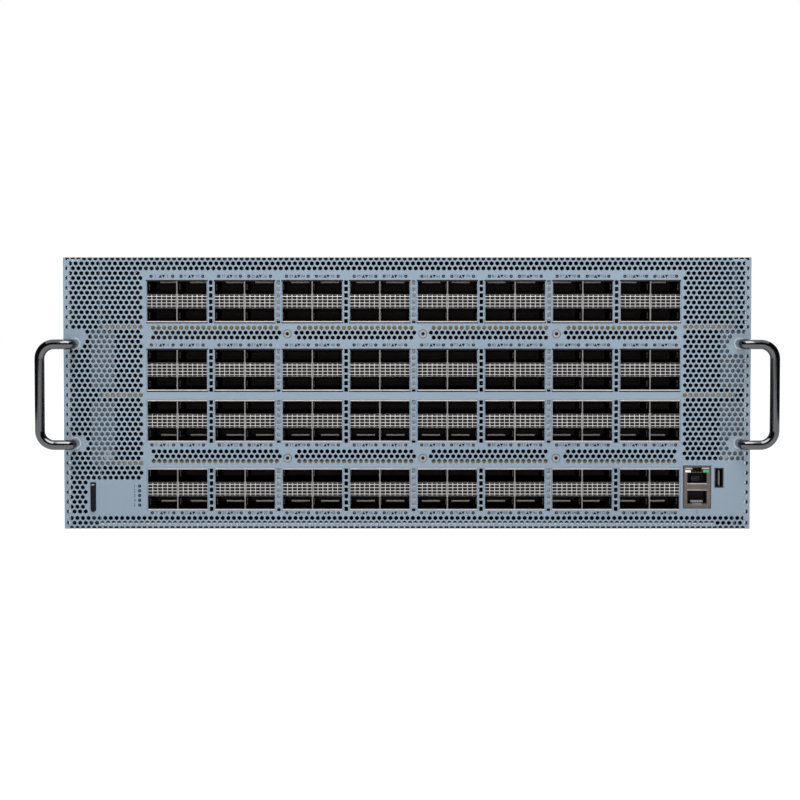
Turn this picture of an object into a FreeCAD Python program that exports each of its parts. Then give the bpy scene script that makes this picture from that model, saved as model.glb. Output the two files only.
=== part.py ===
import FreeCAD, Part
import math
import os

V = FreeCAD.Vector

# Rack switch, four units high. Millimetres, +Z up, the port side faces -Y.
# The origin is the middle of the chassis underside.

# Sheet metal chassis
CHASSIS_W = 440.0
CHASSIS_H = 174.0
CHASSIS_D = 620.0        # front of the panel to the rear edge of the tray
SHEET_T = 1.2
PANEL_T = 1.5
SIDE_LIP = 3.8           # inward lip of each side wall that backs the panel
BASE_LIP_H = 3.7         # upward lip of the base that backs the panel
BASE_LIP_W = 396.0
COVER_LEDGE = 12.0       # inward ledge on each side wall that carries the cover

# Rack ear holes, four in each side wall
EAR_HOLE_R = 2.15
EAR_SETBACK = 45.0       # front of the panel to the middle of the pattern
EAR_SPACING_Y = 40.0
EAR_SPACING_Z = 100.0

# Stacked port cages, each two ports wide and two ports high
CAGE_COLUMNS = 8
PORTS_ACROSS = 2
PORT_W = 18.65
PORT_H = 8.3
PORT_DEPTH = 58.0
SEPARATOR_H = 8.9        # grille between the two port levels of a cage
CAGE_WALL = 0.45
CAGE_PLATE = 0.7         # cage floor and roof
DIVIDER_T = 0.9
CAGE_LIFT = 1.35         # cage floor above its board
CONNECTOR_D = 14.0
LADDER_W = 4.16          # web between neighbouring cages
WINDOW_GAP = 0.2         # cage to panel window, all round
BLOCK_X = 4.15           # middle of the port block, right of the panel's middle

# Circuit boards
BOARD_T = 3.2
MAIN_BOARD_Z = 85.75     # middle of the main board
PORT_BOARD_STEP = 43.9   # main board to each port board
BOARD_SETBACK = 4.0      # back of the panel to a board's front edge
PORT_BOARD_D = 106.0
MAIN_BOARD_D = 330.0

# Board brackets
BRACKET_T = 1.5
BRACKET_D = 112.0
BRACKET_SETBACK = 2.0
LEFT_BRACKET_GAP = 29.5  # port block to the left bracket
RIGHT_BRACKET_GAP = 6.7  # serial socket to the right bracket
FLANGE_IN = 8.6          # flange from the board's side edge, towards the middle
FLANGE_OUT = 6.6         # and away from it
FLANGE_LOW = 41.0
FLANGE_HIGH = 127.0
FLANGE_SLOT = 2.5        # gap in the flange above and below the main board

# Management jack stack
JACK_GAP = 2.3           # port block to the jack
JACK_W = 17.3
JACK_WALL = 2.4
JACK_PORT_H = 8.4
JACK_TOP = 2.45
JACK_MIDDLE = 4.8
JACK_FLOOR = 2.8
JACK_PORT_DEPTH = 16.0
JACK_BACK = 6.0

# Upright serial bus socket beside the jack
SOCKET_GAP = 2.8
SOCKET_W = 5.3
SOCKET_H = 12.25
SOCKET_WALL = 0.5
SOCKET_DEPTH = 12.0
SOCKET_BACK = 3.0
SOCKET_DROP = 1.35       # below its board
TONGUE_T = 1.4
TONGUE_END_GAP = 1.2
TONGUE_SHORT = 3.0       # tongue ends this far inside the mouth

# Pull-out tag, low on the left
TAG_X = 18.45            # panel's left edge to the middle of the tag
TAG_T = 3.0
TAG_H = 18.5
TAG_LOW = 11.1
TAG_LENGTH = 66.0
TAG_PROUD = 1.6
TAG_GAP = 0.25
GUIDE_T = 1.0

# Bow handles: each leg leaves the panel, turns outward and meets an upright grip
HANDLE_ROD_R = 2.95
ROD_SIDES = 12           # facets round the rod
BEND_STEPS = 4           # facets along each bend
HANDLE_INSET = 7.0       # panel's side edge to the leg
HANDLE_SPAN = 64.3       # leg to leg
HANDLE_Z = 87.0          # middle of the grip
HANDLE_REACH = 18.0      # panel to the middle of the rod
HANDLE_OUT = 19.9        # leg to grip, sideways
NECK_R = 7.0
GRIP_BEND_R = 9.0

# Perforation of the front panel, drawn with a coarse mesh
VENT_PITCH = 14.4
VENT_WEB = 3.0
VENT_EDGE = 2.0          # metal left beside a field
HANDLE_PAD_R = 11.0      # blank metal round each handle leg
LEFT_FIELD_LOW = 33.0
RIGHT_FIELD_LOW = 46.0
SLOT_H = 6.6
SLOT_WEB = 4.0
SLOTS_PER_SPAN = 2
STRIP_TO_EDGE = 4.6      # middle of the top and bottom strips to the panel's edge
STRIP_TO_WINDOW = 6.4    # middle of an inner strip to the cage window beside it
SCREW_SPAN = 86.5        # between the panel screws that break the inner strips
SCREW_X = 10.1
SCREW_PAD = 6.0

# Chip and heat sink on the main board
CHIP_W = 74.0
CHIP_T = 4.0
CHIP_TO_REAR = 85.5      # middle of the chip to the board's rear edge
SINK_W = 180.0
SINK_D = 150.0
SINK_BASE = 6.0
SINK_H = 60.0
FIN_COUNT = 12
FIN_T = 2.0

# Posts under the main board
POST_W = 7.0
POST_INSET = 40.0

# Power supply bays, one column at the left of the front view
PSU_COUNT = 4
PSU_W = 73.5
PSU_D = 185.0
PSU_SLACK = 1.7          # bay height less supply height
BAY_GAP = 0.5            # each side of a module
SEAT_GAP = 0.2           # below a module
BACKPLANE_T = 2.4
INLET_W = 27.0
INLET_H = 20.0
INLET_D = 14.0
INLET_SIDE = 21.0        # supply's side to the middle of the inlet

# Fan bays, two rows
FAN_COLUMNS = 4
FAN_ROWS = 2
FAN_D = 60.0
FAN_TOP_GAP = 0.6
FAN_RIM = 3.4            # least wall round the bore
BORE_SIDES = 12
STATOR_T = 4.0
STATOR_W = 14.0
HUB_R = 20.0
HUB_L = 34.0
HUB_GAP = 0.4            # rotor to stator arm
BLADES = 5
BLADE_CHORD = 16.0
BLADE_T = 2.2
BLADE_PITCH = 50.0       # degrees from the plane of the rotor
TIP_GAP = 1.2
FAN_BOARD_H = 12.0
FAN_BOARD_T = 2.0

# Pull handles and latches at the rear
PULL_REACH = 24.0
PULL_BAR = 5.0
PULL_DEPTH = 9.0         # width of the bar across the face
PULL_EDGE = 3.0          # module's side to the pull
PSU_PULL_H = 30.0
LATCH_T = 3.0
LATCH_W = 16.0
LATCH_REACH = 18.0
LATCH_EDGE = 4.2         # module's side to the middle of the lever
PIVOT_OUT = 4.0          # module's rear face to the latch pivot
LATCH_TAIL = 2.4         # lever beyond the pivot, towards the module
EAR_T = 2.0
LATCH_GAP = 0.3

# Places that follow from the sizes above
HALF_W = CHASSIS_W / 2
FRONT_Y = -CHASSIS_D / 2
REAR_Y = CHASSIS_D / 2
PANEL_BACK = FRONT_Y + PANEL_T
INSIDE_X = HALF_W - SHEET_T
INSIDE_LOW = SHEET_T
COVER_LOW = CHASSIS_H - SHEET_T
INSIDE_HIGH = COVER_LOW - SHEET_T

CAGE_W = PORTS_ACROSS * PORT_W + (PORTS_ACROSS - 1) * DIVIDER_T + 2 * CAGE_WALL
CAGE_H = 2 * (PORT_H + CAGE_PLATE) + SEPARATOR_H
CAGE_PITCH = CAGE_W + LADDER_W
BLOCK_W = (CAGE_COLUMNS - 1) * CAGE_PITCH + CAGE_W
BLOCK_LEFT = BLOCK_X - BLOCK_W / 2
BLOCK_RIGHT = BLOCK_X + BLOCK_W / 2
MAIN_TOP = MAIN_BOARD_Z + BOARD_T / 2
MAIN_LOW = MAIN_BOARD_Z - BOARD_T / 2
UPPER_TOP = MAIN_TOP + PORT_BOARD_STEP
LOWER_LOW = MAIN_LOW - PORT_BOARD_STEP

# Each row of cages: the board face that carries it, and +1 if it stands up from it or -1 if it hangs
CAGE_ROWS = ((UPPER_TOP, 1), (MAIN_TOP, 1), (MAIN_LOW, -1), (LOWER_LOW, -1))

JACK_LEFT = BLOCK_RIGHT + JACK_GAP
JACK_RIGHT = JACK_LEFT + JACK_W
JACK_H = JACK_TOP + JACK_MIDDLE + JACK_FLOOR + 2 * JACK_PORT_H
SOCKET_LEFT = JACK_RIGHT + SOCKET_GAP
SOCKET_RIGHT = SOCKET_LEFT + SOCKET_W
SOCKET_HIGH = LOWER_LOW - SOCKET_DROP
SOCKET_LOW = SOCKET_HIGH - SOCKET_H
TAG_LEFT = -HALF_W + TAG_X - TAG_T / 2
TAG_RIGHT = TAG_LEFT + TAG_T
TAG_HIGH = TAG_LOW + TAG_H
BOARD_LEFT = BLOCK_LEFT - LEFT_BRACKET_GAP
BOARD_RIGHT = SOCKET_RIGHT + RIGHT_BRACKET_GAP
BOARD_FRONT = PANEL_BACK + BOARD_SETBACK
CHIP_Y = BOARD_FRONT + MAIN_BOARD_D - CHIP_TO_REAR

PSU_BAY_W = PSU_W + 2 * BAY_GAP
PSU_BAY_H = (INSIDE_HIGH - INSIDE_LOW - (PSU_COUNT - 1) * SHEET_T) / PSU_COUNT
PSU_H = PSU_BAY_H - PSU_SLACK
PSU_LEFT = -INSIDE_X + BAY_GAP
PSU_FRONT = REAR_Y - PSU_D
BAY_WALL_X = -INSIDE_X + PSU_BAY_W
FAN_LEFT = BAY_WALL_X + SHEET_T
FAN_BAY_W = (INSIDE_X - FAN_LEFT - (FAN_COLUMNS - 1) * SHEET_T) / FAN_COLUMNS
FAN_BAY_H = (INSIDE_HIGH - INSIDE_LOW - (FAN_ROWS - 1) * SHEET_T) / FAN_ROWS
FAN_W = FAN_BAY_W - 2 * BAY_GAP
FAN_H = FAN_BAY_H - SEAT_GAP - FAN_TOP_GAP
FAN_FRONT = REAR_Y - FAN_D
BORE_R = min(FAN_W, FAN_H) / 2 - FAN_RIM


def block(x, y, z):
    """Box from (low, high) pairs along each axis."""
    return Part.makeBox(x[1] - x[0], y[1] - y[0], z[1] - z[0], V(x[0], y[0], z[0]))


def extrude_y(points, low, high):
    """Prism along Y from a closed outline of (x, z) points."""
    wire = Part.makePolygon([V(x, low, z) for x, z in points + points[:1]])
    return Part.Face(wire).extrude(V(0, high - low, 0))


def extrude_z(points, low, high):
    """Prism along Z from a closed outline of (x, y) points."""
    wire = Part.makePolygon([V(x, y, low) for x, y in points + points[:1]])
    return Part.Face(wire).extrude(V(0, 0, high - low))


def polygon(sides, apothem, turn=0.0):
    """Corners of a regular polygon round the origin, with a flat side facing the turn angle."""
    radius = apothem / math.cos(math.pi / sides)
    angles = [turn + math.pi * (2 * i + 1) / sides for i in range(sides)]
    return [(radius * math.cos(a), radius * math.sin(a)) for a in angles]


def rod(centre, direction, radius, length):
    return Part.makeCylinder(radius, length, centre, direction)


def fused(solids):
    return solids[0].multiFuse(solids[1:]).removeSplitter()


def save(node, solids):
    """Write one node, which may hold several like solids."""
    shape = solids[0] if len(solids) == 1 else Part.makeCompound(solids)
    shape.exportStep("parts/%s.step" % node)


def cage_centres():
    return [BLOCK_LEFT + CAGE_W / 2 + i * CAGE_PITCH for i in range(CAGE_COLUMNS)]


def cage_span(face, up):
    """Lowest and highest points of a cage row on one board face."""
    near = face + up * CAGE_LIFT
    far = near + up * CAGE_H
    return min(near, far), max(near, far)


def ear_holes():
    """Cutters for the rack ear holes, through both side walls."""
    holes = []
    for side in (-1, 1):
        for y in (-EAR_SPACING_Y / 2, EAR_SPACING_Y / 2):
            for z in (-EAR_SPACING_Z / 2, EAR_SPACING_Z / 2):
                start = V(side * (INSIDE_X - SHEET_T), FRONT_Y + EAR_SETBACK + y, CHASSIS_H / 2 + z)
                holes.append(rod(start, V(side, 0, 0), EAR_HOLE_R, 3 * SHEET_T))
    return holes


def chassis_tray():
    """Folded base and side walls with the cover ledges, and the lip behind the panel."""
    half = [
        (HALF_W, 0.0),
        (HALF_W, COVER_LOW),
        (HALF_W - COVER_LEDGE, COVER_LOW),
        (HALF_W - COVER_LEDGE, INSIDE_HIGH),
        (INSIDE_X, INSIDE_HIGH),
        (INSIDE_X, SHEET_T),
    ]
    mirrored = [(-x, z) for x, z in reversed(half)]
    tray = extrude_y(half + mirrored, PANEL_BACK, REAR_Y)
    lip_y = (PANEL_BACK, PANEL_BACK + SHEET_T)
    lip_in = HALF_W - SIDE_LIP
    lips = [
        block((-INSIDE_X, -lip_in), lip_y, (SHEET_T, INSIDE_HIGH)),
        block((lip_in, INSIDE_X), lip_y, (SHEET_T, INSIDE_HIGH)),
        block((-BASE_LIP_W / 2, BASE_LIP_W / 2), lip_y, (SHEET_T, BASE_LIP_H)),
    ]
    return fused([tray] + lips).cut(ear_holes())


def top_cover():
    return block((-HALF_W, HALF_W), (PANEL_BACK, REAR_Y), (COVER_LOW, CHASSIS_H))


def vent_hexagon(x, z):
    """One hexagon of the perforation, a point at its top."""
    flats = VENT_PITCH - VENT_WEB
    corners = polygon(6, flats / 2)
    return extrude_y([(x + a, z + b) for a, b in corners], FRONT_Y, PANEL_BACK)


def vent_slot(left, right, z):
    """Long hexagon that stands for a run of small ones in a three-row strip."""
    tip = SLOT_H / 2 * math.tan(math.pi / 6)
    low, high = z - SLOT_H / 2, z + SLOT_H / 2
    points = [
        (left, z), (left + tip, low), (right - tip, low),
        (right, z), (right - tip, high), (left + tip, high),
    ]
    return extrude_y(points, FRONT_Y, PANEL_BACK)


def near_handle(x, z):
    leg_x = HALF_W - HANDLE_INSET
    legs = [(side * leg_x, HANDLE_Z + end * HANDLE_SPAN / 2) for side in (-1, 1) for end in (-1, 1)]
    return any(math.hypot(x - a, z - b) < HANDLE_PAD_R for a, b in legs)


def vent_field(left, right, low, high):
    """Staggered hexagons that fill a rectangle, clear of the handle legs."""
    flats = VENT_PITCH - VENT_WEB
    point = flats / math.sqrt(3)
    row_step = VENT_PITCH * math.sqrt(3) / 2
    rows = int((high - low - 2 * point) / row_step) + 1
    vents = []
    for row in range(rows):
        z = high - point - row * row_step
        x = left + flats / 2 + (row % 2) * VENT_PITCH / 2
        while x + flats / 2 <= right:
            if not near_handle(x, z):
                vents.append(vent_hexagon(x, z))
            x += VENT_PITCH
    return vents


def vent_strip(left, right, z, count):
    """A row of equal slots between two places."""
    step = (right - left + SLOT_WEB) / count
    return [vent_slot(left + i * step, left + (i + 1) * step - SLOT_WEB, z) for i in range(count)]


def panel_vents():
    """The perforated fields beside the ports and the strips above, below and between them."""
    edge = HALF_W - SIDE_LIP - VENT_EDGE
    top = CHASSIS_H - SHEET_T - VENT_EDGE
    left_field = vent_field(-edge, BLOCK_LEFT - VENT_EDGE, LEFT_FIELD_LOW, top)
    right_field = vent_field(BLOCK_RIGHT + VENT_EDGE, edge, RIGHT_FIELD_LOW, top)
    vents = left_field + right_field
    wide = 4 * SLOTS_PER_SPAN
    vents += vent_strip(BLOCK_LEFT, BLOCK_RIGHT, CHASSIS_H - STRIP_TO_EDGE, wide)
    vents += vent_strip(-edge, edge, STRIP_TO_EDGE + VENT_EDGE / 2, wide + SLOTS_PER_SPAN)
    upper = cage_span(*CAGE_ROWS[0])[0] - STRIP_TO_WINDOW
    lower = cage_span(*CAGE_ROWS[3])[1] + STRIP_TO_WINDOW
    screws = [SCREW_X + i * SCREW_SPAN for i in (-1, 0, 1)]
    starts = [BLOCK_LEFT] + [x + SCREW_PAD for x in screws]
    ends = [x - SCREW_PAD for x in screws] + [BLOCK_RIGHT]
    for z in (upper, lower):
        for start, end in zip(starts, ends):
            vents += vent_strip(start, end, z, SLOTS_PER_SPAN)
    return vents


def panel_windows():
    """Cutters for the cages, the jack, the socket and the tag."""
    through = (FRONT_Y, PANEL_BACK)
    gap = WINDOW_GAP
    windows = []
    for face, up in CAGE_ROWS:
        low, high = cage_span(face, up)
        for x in cage_centres():
            across = (x - CAGE_W / 2 - gap, x + CAGE_W / 2 + gap)
            windows.append(block(across, through, (low - gap, high + gap)))
    jack_z = (LOWER_LOW - JACK_H - gap, LOWER_LOW + gap)
    windows.append(block((JACK_LEFT - gap, JACK_RIGHT + gap), through, jack_z))
    socket_z = (SOCKET_LOW - gap, SOCKET_HIGH + gap)
    windows.append(block((SOCKET_LEFT - gap, SOCKET_RIGHT + gap), through, socket_z))
    tag_x = (TAG_LEFT - TAG_GAP, TAG_RIGHT + TAG_GAP)
    windows.append(block(tag_x, through, (TAG_LOW - TAG_GAP, TAG_HIGH + TAG_GAP)))
    return windows


def front_panel():
    plate = block((-HALF_W, HALF_W), (FRONT_Y, PANEL_BACK), (0.0, CHASSIS_H))
    return plate.cut(panel_windows() + panel_vents())


def bow_handle(side):
    """Chrome rod: out of the panel, a turn outward, and a grip between two wide bends."""
    leg_x = side * (HALF_W - HANDLE_INSET)
    high, low = HANDLE_Z + HANDLE_SPAN / 2, HANDLE_Z - HANDLE_SPAN / 2
    neck_x, neck_y = leg_x + side * NECK_R, FRONT_Y - HANDLE_REACH + NECK_R
    bend_x, out_y = leg_x + side * (HANDLE_OUT - GRIP_BEND_R), FRONT_Y - HANDLE_REACH
    corners = [V(leg_x + a, FRONT_Y, high + b) for a, b in polygon(ROD_SIDES, HANDLE_ROD_R)]
    section = Part.makePolygon(corners + corners[:1])
    stations = [section.copy()]

    def run(vector):
        section.translate(vector)
        stations.append(section.copy())

    def bend(centre, axis):
        for _ in range(BEND_STEPS):
            section.rotate(centre, axis, 90 / BEND_STEPS)
            stations.append(section.copy())

    forward = V(0, neck_y - FRONT_Y, 0)
    outward = V(bend_x - neck_x, 0, 0)
    run(forward)
    bend(V(neck_x, neck_y, high), V(0, 0, side))
    run(outward)
    bend(V(bend_x, out_y, high - GRIP_BEND_R), V(0, side, 0))
    run(V(0, 0, 2 * GRIP_BEND_R - HANDLE_SPAN))
    bend(V(bend_x, out_y, low + GRIP_BEND_R), V(0, side, 0))
    run(-outward)
    bend(V(neck_x, neck_y, low), V(0, 0, -side))
    run(-forward)
    return Part.makeLoft(stations, True, True)


def board(face_low, depth):
    z = (face_low, face_low + BOARD_T)
    return block((BOARD_LEFT, BOARD_RIGHT), (BOARD_FRONT, BOARD_FRONT + depth), z)


def port_cage(x, face, up):
    """Plates of one two by two cage and the connector block behind it, which seats on the board."""
    left, right = x - CAGE_W / 2, x + CAGE_W / 2
    front = (FRONT_Y, FRONT_Y + PORT_DEPTH)
    whole = (FRONT_Y, FRONT_Y + PORT_DEPTH + CONNECTOR_D)

    def level(low, high):
        """Heights above the board, turned over for a hanging cage."""
        ends = (face + up * low, face + up * high)
        return min(ends), max(ends)

    floor_top = CAGE_LIFT + CAGE_PLATE
    roof_low = CAGE_LIFT + CAGE_H - CAGE_PLATE
    inside = level(floor_top, roof_low)
    grille = level(floor_top + PORT_H, floor_top + PORT_H + SEPARATOR_H)
    inner = (left + CAGE_WALL, right - CAGE_WALL)
    divider = (x - DIVIDER_T / 2, x + DIVIDER_T / 2)
    return [
        block((left, right), front, level(CAGE_LIFT, floor_top)),
        block((left, right), whole, level(roof_low, CAGE_LIFT + CAGE_H)),
        block((left, inner[0]), whole, inside),
        block((inner[1], right), whole, inside),
        block(divider, front, inside),
        block((inner[0], divider[0]), front, grille),
        block((divider[1], inner[1]), front, grille),
        block(inner, (front[1], whole[1]), level(0.0, roof_low)),
    ]


def cage_row(face, up):
    """All the cages of one row."""
    plates = []
    for x in cage_centres():
        plates += port_cage(x, face, up)
    return plates


def jack_stack():
    """Two network jacks, one above the other, hanging from the lower port board."""
    top, low = LOWER_LOW, LOWER_LOW - JACK_H
    front = (FRONT_Y, FRONT_Y + JACK_PORT_DEPTH)
    inner = (JACK_LEFT + JACK_WALL, JACK_RIGHT - JACK_WALL)
    upper_low = top - JACK_TOP - JACK_PORT_H
    lower_low = low + JACK_FLOOR
    return [
        block((JACK_LEFT, inner[0]), front, (low, top)),
        block((inner[1], JACK_RIGHT), front, (low, top)),
        block(inner, front, (top - JACK_TOP, top)),
        block(inner, front, (lower_low + JACK_PORT_H, upper_low)),
        block(inner, front, (low, lower_low)),
        block((JACK_LEFT, JACK_RIGHT), (front[1], front[1] + JACK_BACK), (low, top)),
    ]


def bus_socket():
    """Upright shell with its tongue, and the foot that joins it to the board above."""
    y = (FRONT_Y, FRONT_Y + SOCKET_DEPTH + SOCKET_BACK)
    shell = block((SOCKET_LEFT, SOCKET_RIGHT), y, (SOCKET_LOW, SOCKET_HIGH))
    hollow = block(
        (SOCKET_LEFT + SOCKET_WALL, SOCKET_RIGHT - SOCKET_WALL),
        (FRONT_Y, FRONT_Y + SOCKET_DEPTH),
        (SOCKET_LOW + SOCKET_WALL, SOCKET_HIGH - SOCKET_WALL),
    )
    end = SOCKET_WALL + TONGUE_END_GAP
    centre = (SOCKET_LEFT + SOCKET_RIGHT) / 2
    tongue = block(
        (centre - TONGUE_T / 2, centre + TONGUE_T / 2),
        (FRONT_Y + TONGUE_SHORT, y[1]),
        (SOCKET_LOW + end, SOCKET_HIGH - end),
    )
    foot = block((SOCKET_LEFT, SOCKET_RIGHT), (BOARD_FRONT, y[1]), (SOCKET_HIGH, LOWER_LOW))
    return fused([shell.cut(hollow), tongue, foot])


def asset_tag():
    """Flat tag with a round nose that stands a little proud of the panel."""
    nose = TAG_T / 2
    front, back = FRONT_Y - TAG_PROUD, FRONT_Y - TAG_PROUD + TAG_LENGTH
    middle = (TAG_LEFT + TAG_RIGHT) / 2
    body = block((TAG_LEFT, TAG_RIGHT), (front + nose, back), (TAG_LOW, TAG_HIGH))
    tip = rod(V(middle, front + nose, TAG_LOW), V(0, 0, 1), nose, TAG_H)
    return fused([body, tip])


def tag_guide():
    """Channel on the chassis base in which the tag slides."""
    y = (PANEL_BACK + SHEET_T, FRONT_Y + TAG_LENGTH)
    left, right = TAG_LEFT - TAG_GAP, TAG_RIGHT + TAG_GAP
    floor = TAG_LOW - TAG_GAP
    outline = [
        (left - GUIDE_T, INSIDE_LOW), (right + GUIDE_T, INSIDE_LOW), (right + GUIDE_T, TAG_HIGH),
        (right, TAG_HIGH), (right, floor), (left, floor), (left, TAG_HIGH), (left - GUIDE_T, TAG_HIGH),
    ]
    return extrude_y(outline, *y)


def board_bracket(side):
    """Upright sheet that holds the board edges, with flanges behind the panel above and below the main board."""
    y = PANEL_BACK + BRACKET_SETBACK
    inner = BOARD_LEFT if side < 0 else BOARD_RIGHT
    wall = sorted((inner, inner + side * BRACKET_T))
    flange = sorted((inner - side * FLANGE_IN, inner + side * FLANGE_OUT))
    return fused([
        block(wall, (y, y + BRACKET_D), (INSIDE_LOW, INSIDE_HIGH)),
        block(flange, (y, y + BRACKET_T), (FLANGE_LOW, MAIN_LOW - FLANGE_SLOT)),
        block(flange, (y, y + BRACKET_T), (MAIN_TOP + FLANGE_SLOT, FLANGE_HIGH)),
    ])


def board_posts():
    """Hexagonal posts from the chassis base to the rear half of the main board."""
    posts = []
    rear = BOARD_FRONT + MAIN_BOARD_D - POST_INSET
    for x in (BOARD_LEFT + POST_INSET, BOARD_RIGHT - POST_INSET):
        for y in (rear - MAIN_BOARD_D / 2, rear):
            outline = [(x + a, y + b) for a, b in polygon(6, POST_W / 2)]
            posts.append(extrude_z(outline, INSIDE_LOW, MAIN_LOW))
    return posts


def switch_chip():
    half = CHIP_W / 2
    return block((BLOCK_X - half, BLOCK_X + half), (CHIP_Y - half, CHIP_Y + half), (MAIN_TOP, MAIN_TOP + CHIP_T))


def heat_sink():
    """Comb of fins along the air flow, on the chip."""
    base = MAIN_TOP + CHIP_T
    left = BLOCK_X - SINK_W / 2
    pitch = (SINK_W - FIN_T) / (FIN_COUNT - 1)
    outline = [(left, base), (left + SINK_W, base)]
    for i in reversed(range(FIN_COUNT)):
        fin = left + i * pitch
        outline += [(fin + FIN_T, base + SINK_H), (fin, base + SINK_H)]
        if i:
            outline += [(fin, base + SINK_BASE), (fin - pitch + FIN_T, base + SINK_BASE)]
    return extrude_y(outline, CHIP_Y - SINK_D / 2, CHIP_Y + SINK_D / 2)


def psu_low(index):
    return INSIDE_LOW + index * (PSU_BAY_H + SHEET_T)


def fan_corner(column, row):
    """Lowest left corner of a fan bay."""
    return FAN_LEFT + column * (FAN_BAY_W + SHEET_T), INSIDE_LOW + row * (FAN_BAY_H + SHEET_T)


def bay_walls():
    """Sheets that divide the rear into supply and fan bays."""
    psu_y = (PSU_FRONT, REAR_Y)
    fan_y = (FAN_FRONT, REAR_Y)
    walls = [block((BAY_WALL_X, FAN_LEFT), psu_y, (INSIDE_LOW, COVER_LOW))]
    for i in range(1, PSU_COUNT):
        low = psu_low(i) - SHEET_T
        walls.append(block((-INSIDE_X, BAY_WALL_X), psu_y, (low, low + SHEET_T)))
    for row in range(1, FAN_ROWS):
        low = fan_corner(0, row)[1] - SHEET_T
        walls.append(block((FAN_LEFT, INSIDE_X), fan_y, (low, low + SHEET_T)))
    for row in range(FAN_ROWS):
        low = fan_corner(0, row)[1]
        for column in range(1, FAN_COLUMNS):
            x = fan_corner(column, row)[0]
            walls.append(block((x - SHEET_T, x), fan_y, (low, low + FAN_BAY_H)))
    return walls


def psu_backplane():
    """Board that the supplies plug into, against the front edges of their shelves."""
    y = (PSU_FRONT - BACKPLANE_T, PSU_FRONT)
    return block((-INSIDE_X, BAY_WALL_X), y, (INSIDE_LOW, INSIDE_HIGH))


def fan_board():
    """Strip board that the fans plug into, along the front of the middle shelf."""
    middle = fan_corner(0, 1)[1] - SHEET_T / 2
    y = (FAN_FRONT - FAN_BOARD_T, FAN_FRONT)
    return block((FAN_LEFT, INSIDE_X), y, (middle - FAN_BOARD_H / 2, middle + FAN_BOARD_H / 2))


def pull_loop(left, middle, height):
    """U-shaped pull that stands out of a module's rear face."""
    low, high = middle - height / 2, middle + height / 2
    x = (left, left + PULL_DEPTH)
    outer = block(x, (REAR_Y, REAR_Y + PULL_REACH), (low, high))
    return outer.cut(block(x, (REAR_Y, REAR_Y + PULL_REACH - PULL_BAR), (low + PULL_BAR, high - PULL_BAR)))


def latch_lever(x, middle):
    """Upright lever on a pivot just behind the module's face."""
    pivot = REAR_Y + PIVOT_OUT
    y = (pivot - LATCH_TAIL, pivot + LATCH_REACH)
    return block((x - LATCH_T / 2, x + LATCH_T / 2), y, (middle - LATCH_W / 2, middle + LATCH_W / 2))


def latch_ears(x, middle):
    """Pair of ears that hold a lever between them."""
    y = (REAR_Y, REAR_Y + 2 * PIVOT_OUT)
    wide = (x - LATCH_T / 2, x + LATCH_T / 2)
    gap = LATCH_W / 2 + LATCH_GAP
    return [
        block(wide, y, (middle + gap, middle + gap + EAR_T)),
        block(wide, y, (middle - gap - EAR_T, middle - gap)),
    ]


def psu_case(index):
    """Supply housing with the mains inlet recess and the latch ears."""
    low = psu_low(index) + SEAT_GAP
    middle = low + PSU_H / 2
    right = PSU_LEFT + PSU_W
    inlet_x = right - INLET_SIDE
    case = block((PSU_LEFT, right), (PSU_FRONT + BAY_GAP, REAR_Y), (low, low + PSU_H))
    recess = block(
        (inlet_x - INLET_W / 2, inlet_x + INLET_W / 2),
        (REAR_Y - INLET_D, REAR_Y),
        (middle - INLET_H / 2, middle + INLET_H / 2),
    )
    return fused([case.cut(recess)] + latch_ears(right - LATCH_EDGE, middle))


def psu_pull(index):
    middle = psu_low(index) + SEAT_GAP + PSU_H / 2
    return pull_loop(PSU_LEFT + PULL_EDGE, middle, PSU_PULL_H)


def psu_latch(index):
    return latch_lever(PSU_LEFT + PSU_W - LATCH_EDGE, psu_low(index) + SEAT_GAP + PSU_H / 2)


def fan_centre(column, row):
    x, z = fan_corner(column, row)
    return x + FAN_BAY_W / 2, z + SEAT_GAP + FAN_H / 2


def fan_frame(column, row):
    """Fan housing: a square sleeve with a round bore, a stator arm, a pull and the latch ears."""
    x, z = fan_centre(column, row)
    y = (FAN_FRONT, REAR_Y)
    sleeve = block((x - FAN_W / 2, x + FAN_W / 2), y, (z - FAN_H / 2, z + FAN_H / 2))
    bore = extrude_y([(x + a, z + b) for a, b in polygon(BORE_SIDES, BORE_R)], *y)
    arm = block(
        (x - STATOR_W / 2, x + STATOR_W / 2),
        (FAN_FRONT, FAN_FRONT + STATOR_T),
        (z - FAN_H / 2, z + FAN_H / 2),
    )
    pull = pull_loop(x + FAN_W / 2 - PULL_EDGE - PULL_DEPTH, z, FAN_H - 2 * PULL_EDGE)
    ears = latch_ears(x - FAN_W / 2 + LATCH_EDGE, z + fan_latch_lift())
    return fused([sleeve.cut(bore), arm, pull] + ears)


def fan_latch_lift():
    """Height of a fan's latch above the bore's axis, in the corner that the bore leaves."""
    return FAN_H / 2 - LATCH_W / 2 - LATCH_GAP - EAR_T - PULL_EDGE


def fan_latch(column, row):
    x, z = fan_centre(column, row)
    return latch_lever(x - FAN_W / 2 + LATCH_EDGE, z + fan_latch_lift())


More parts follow.
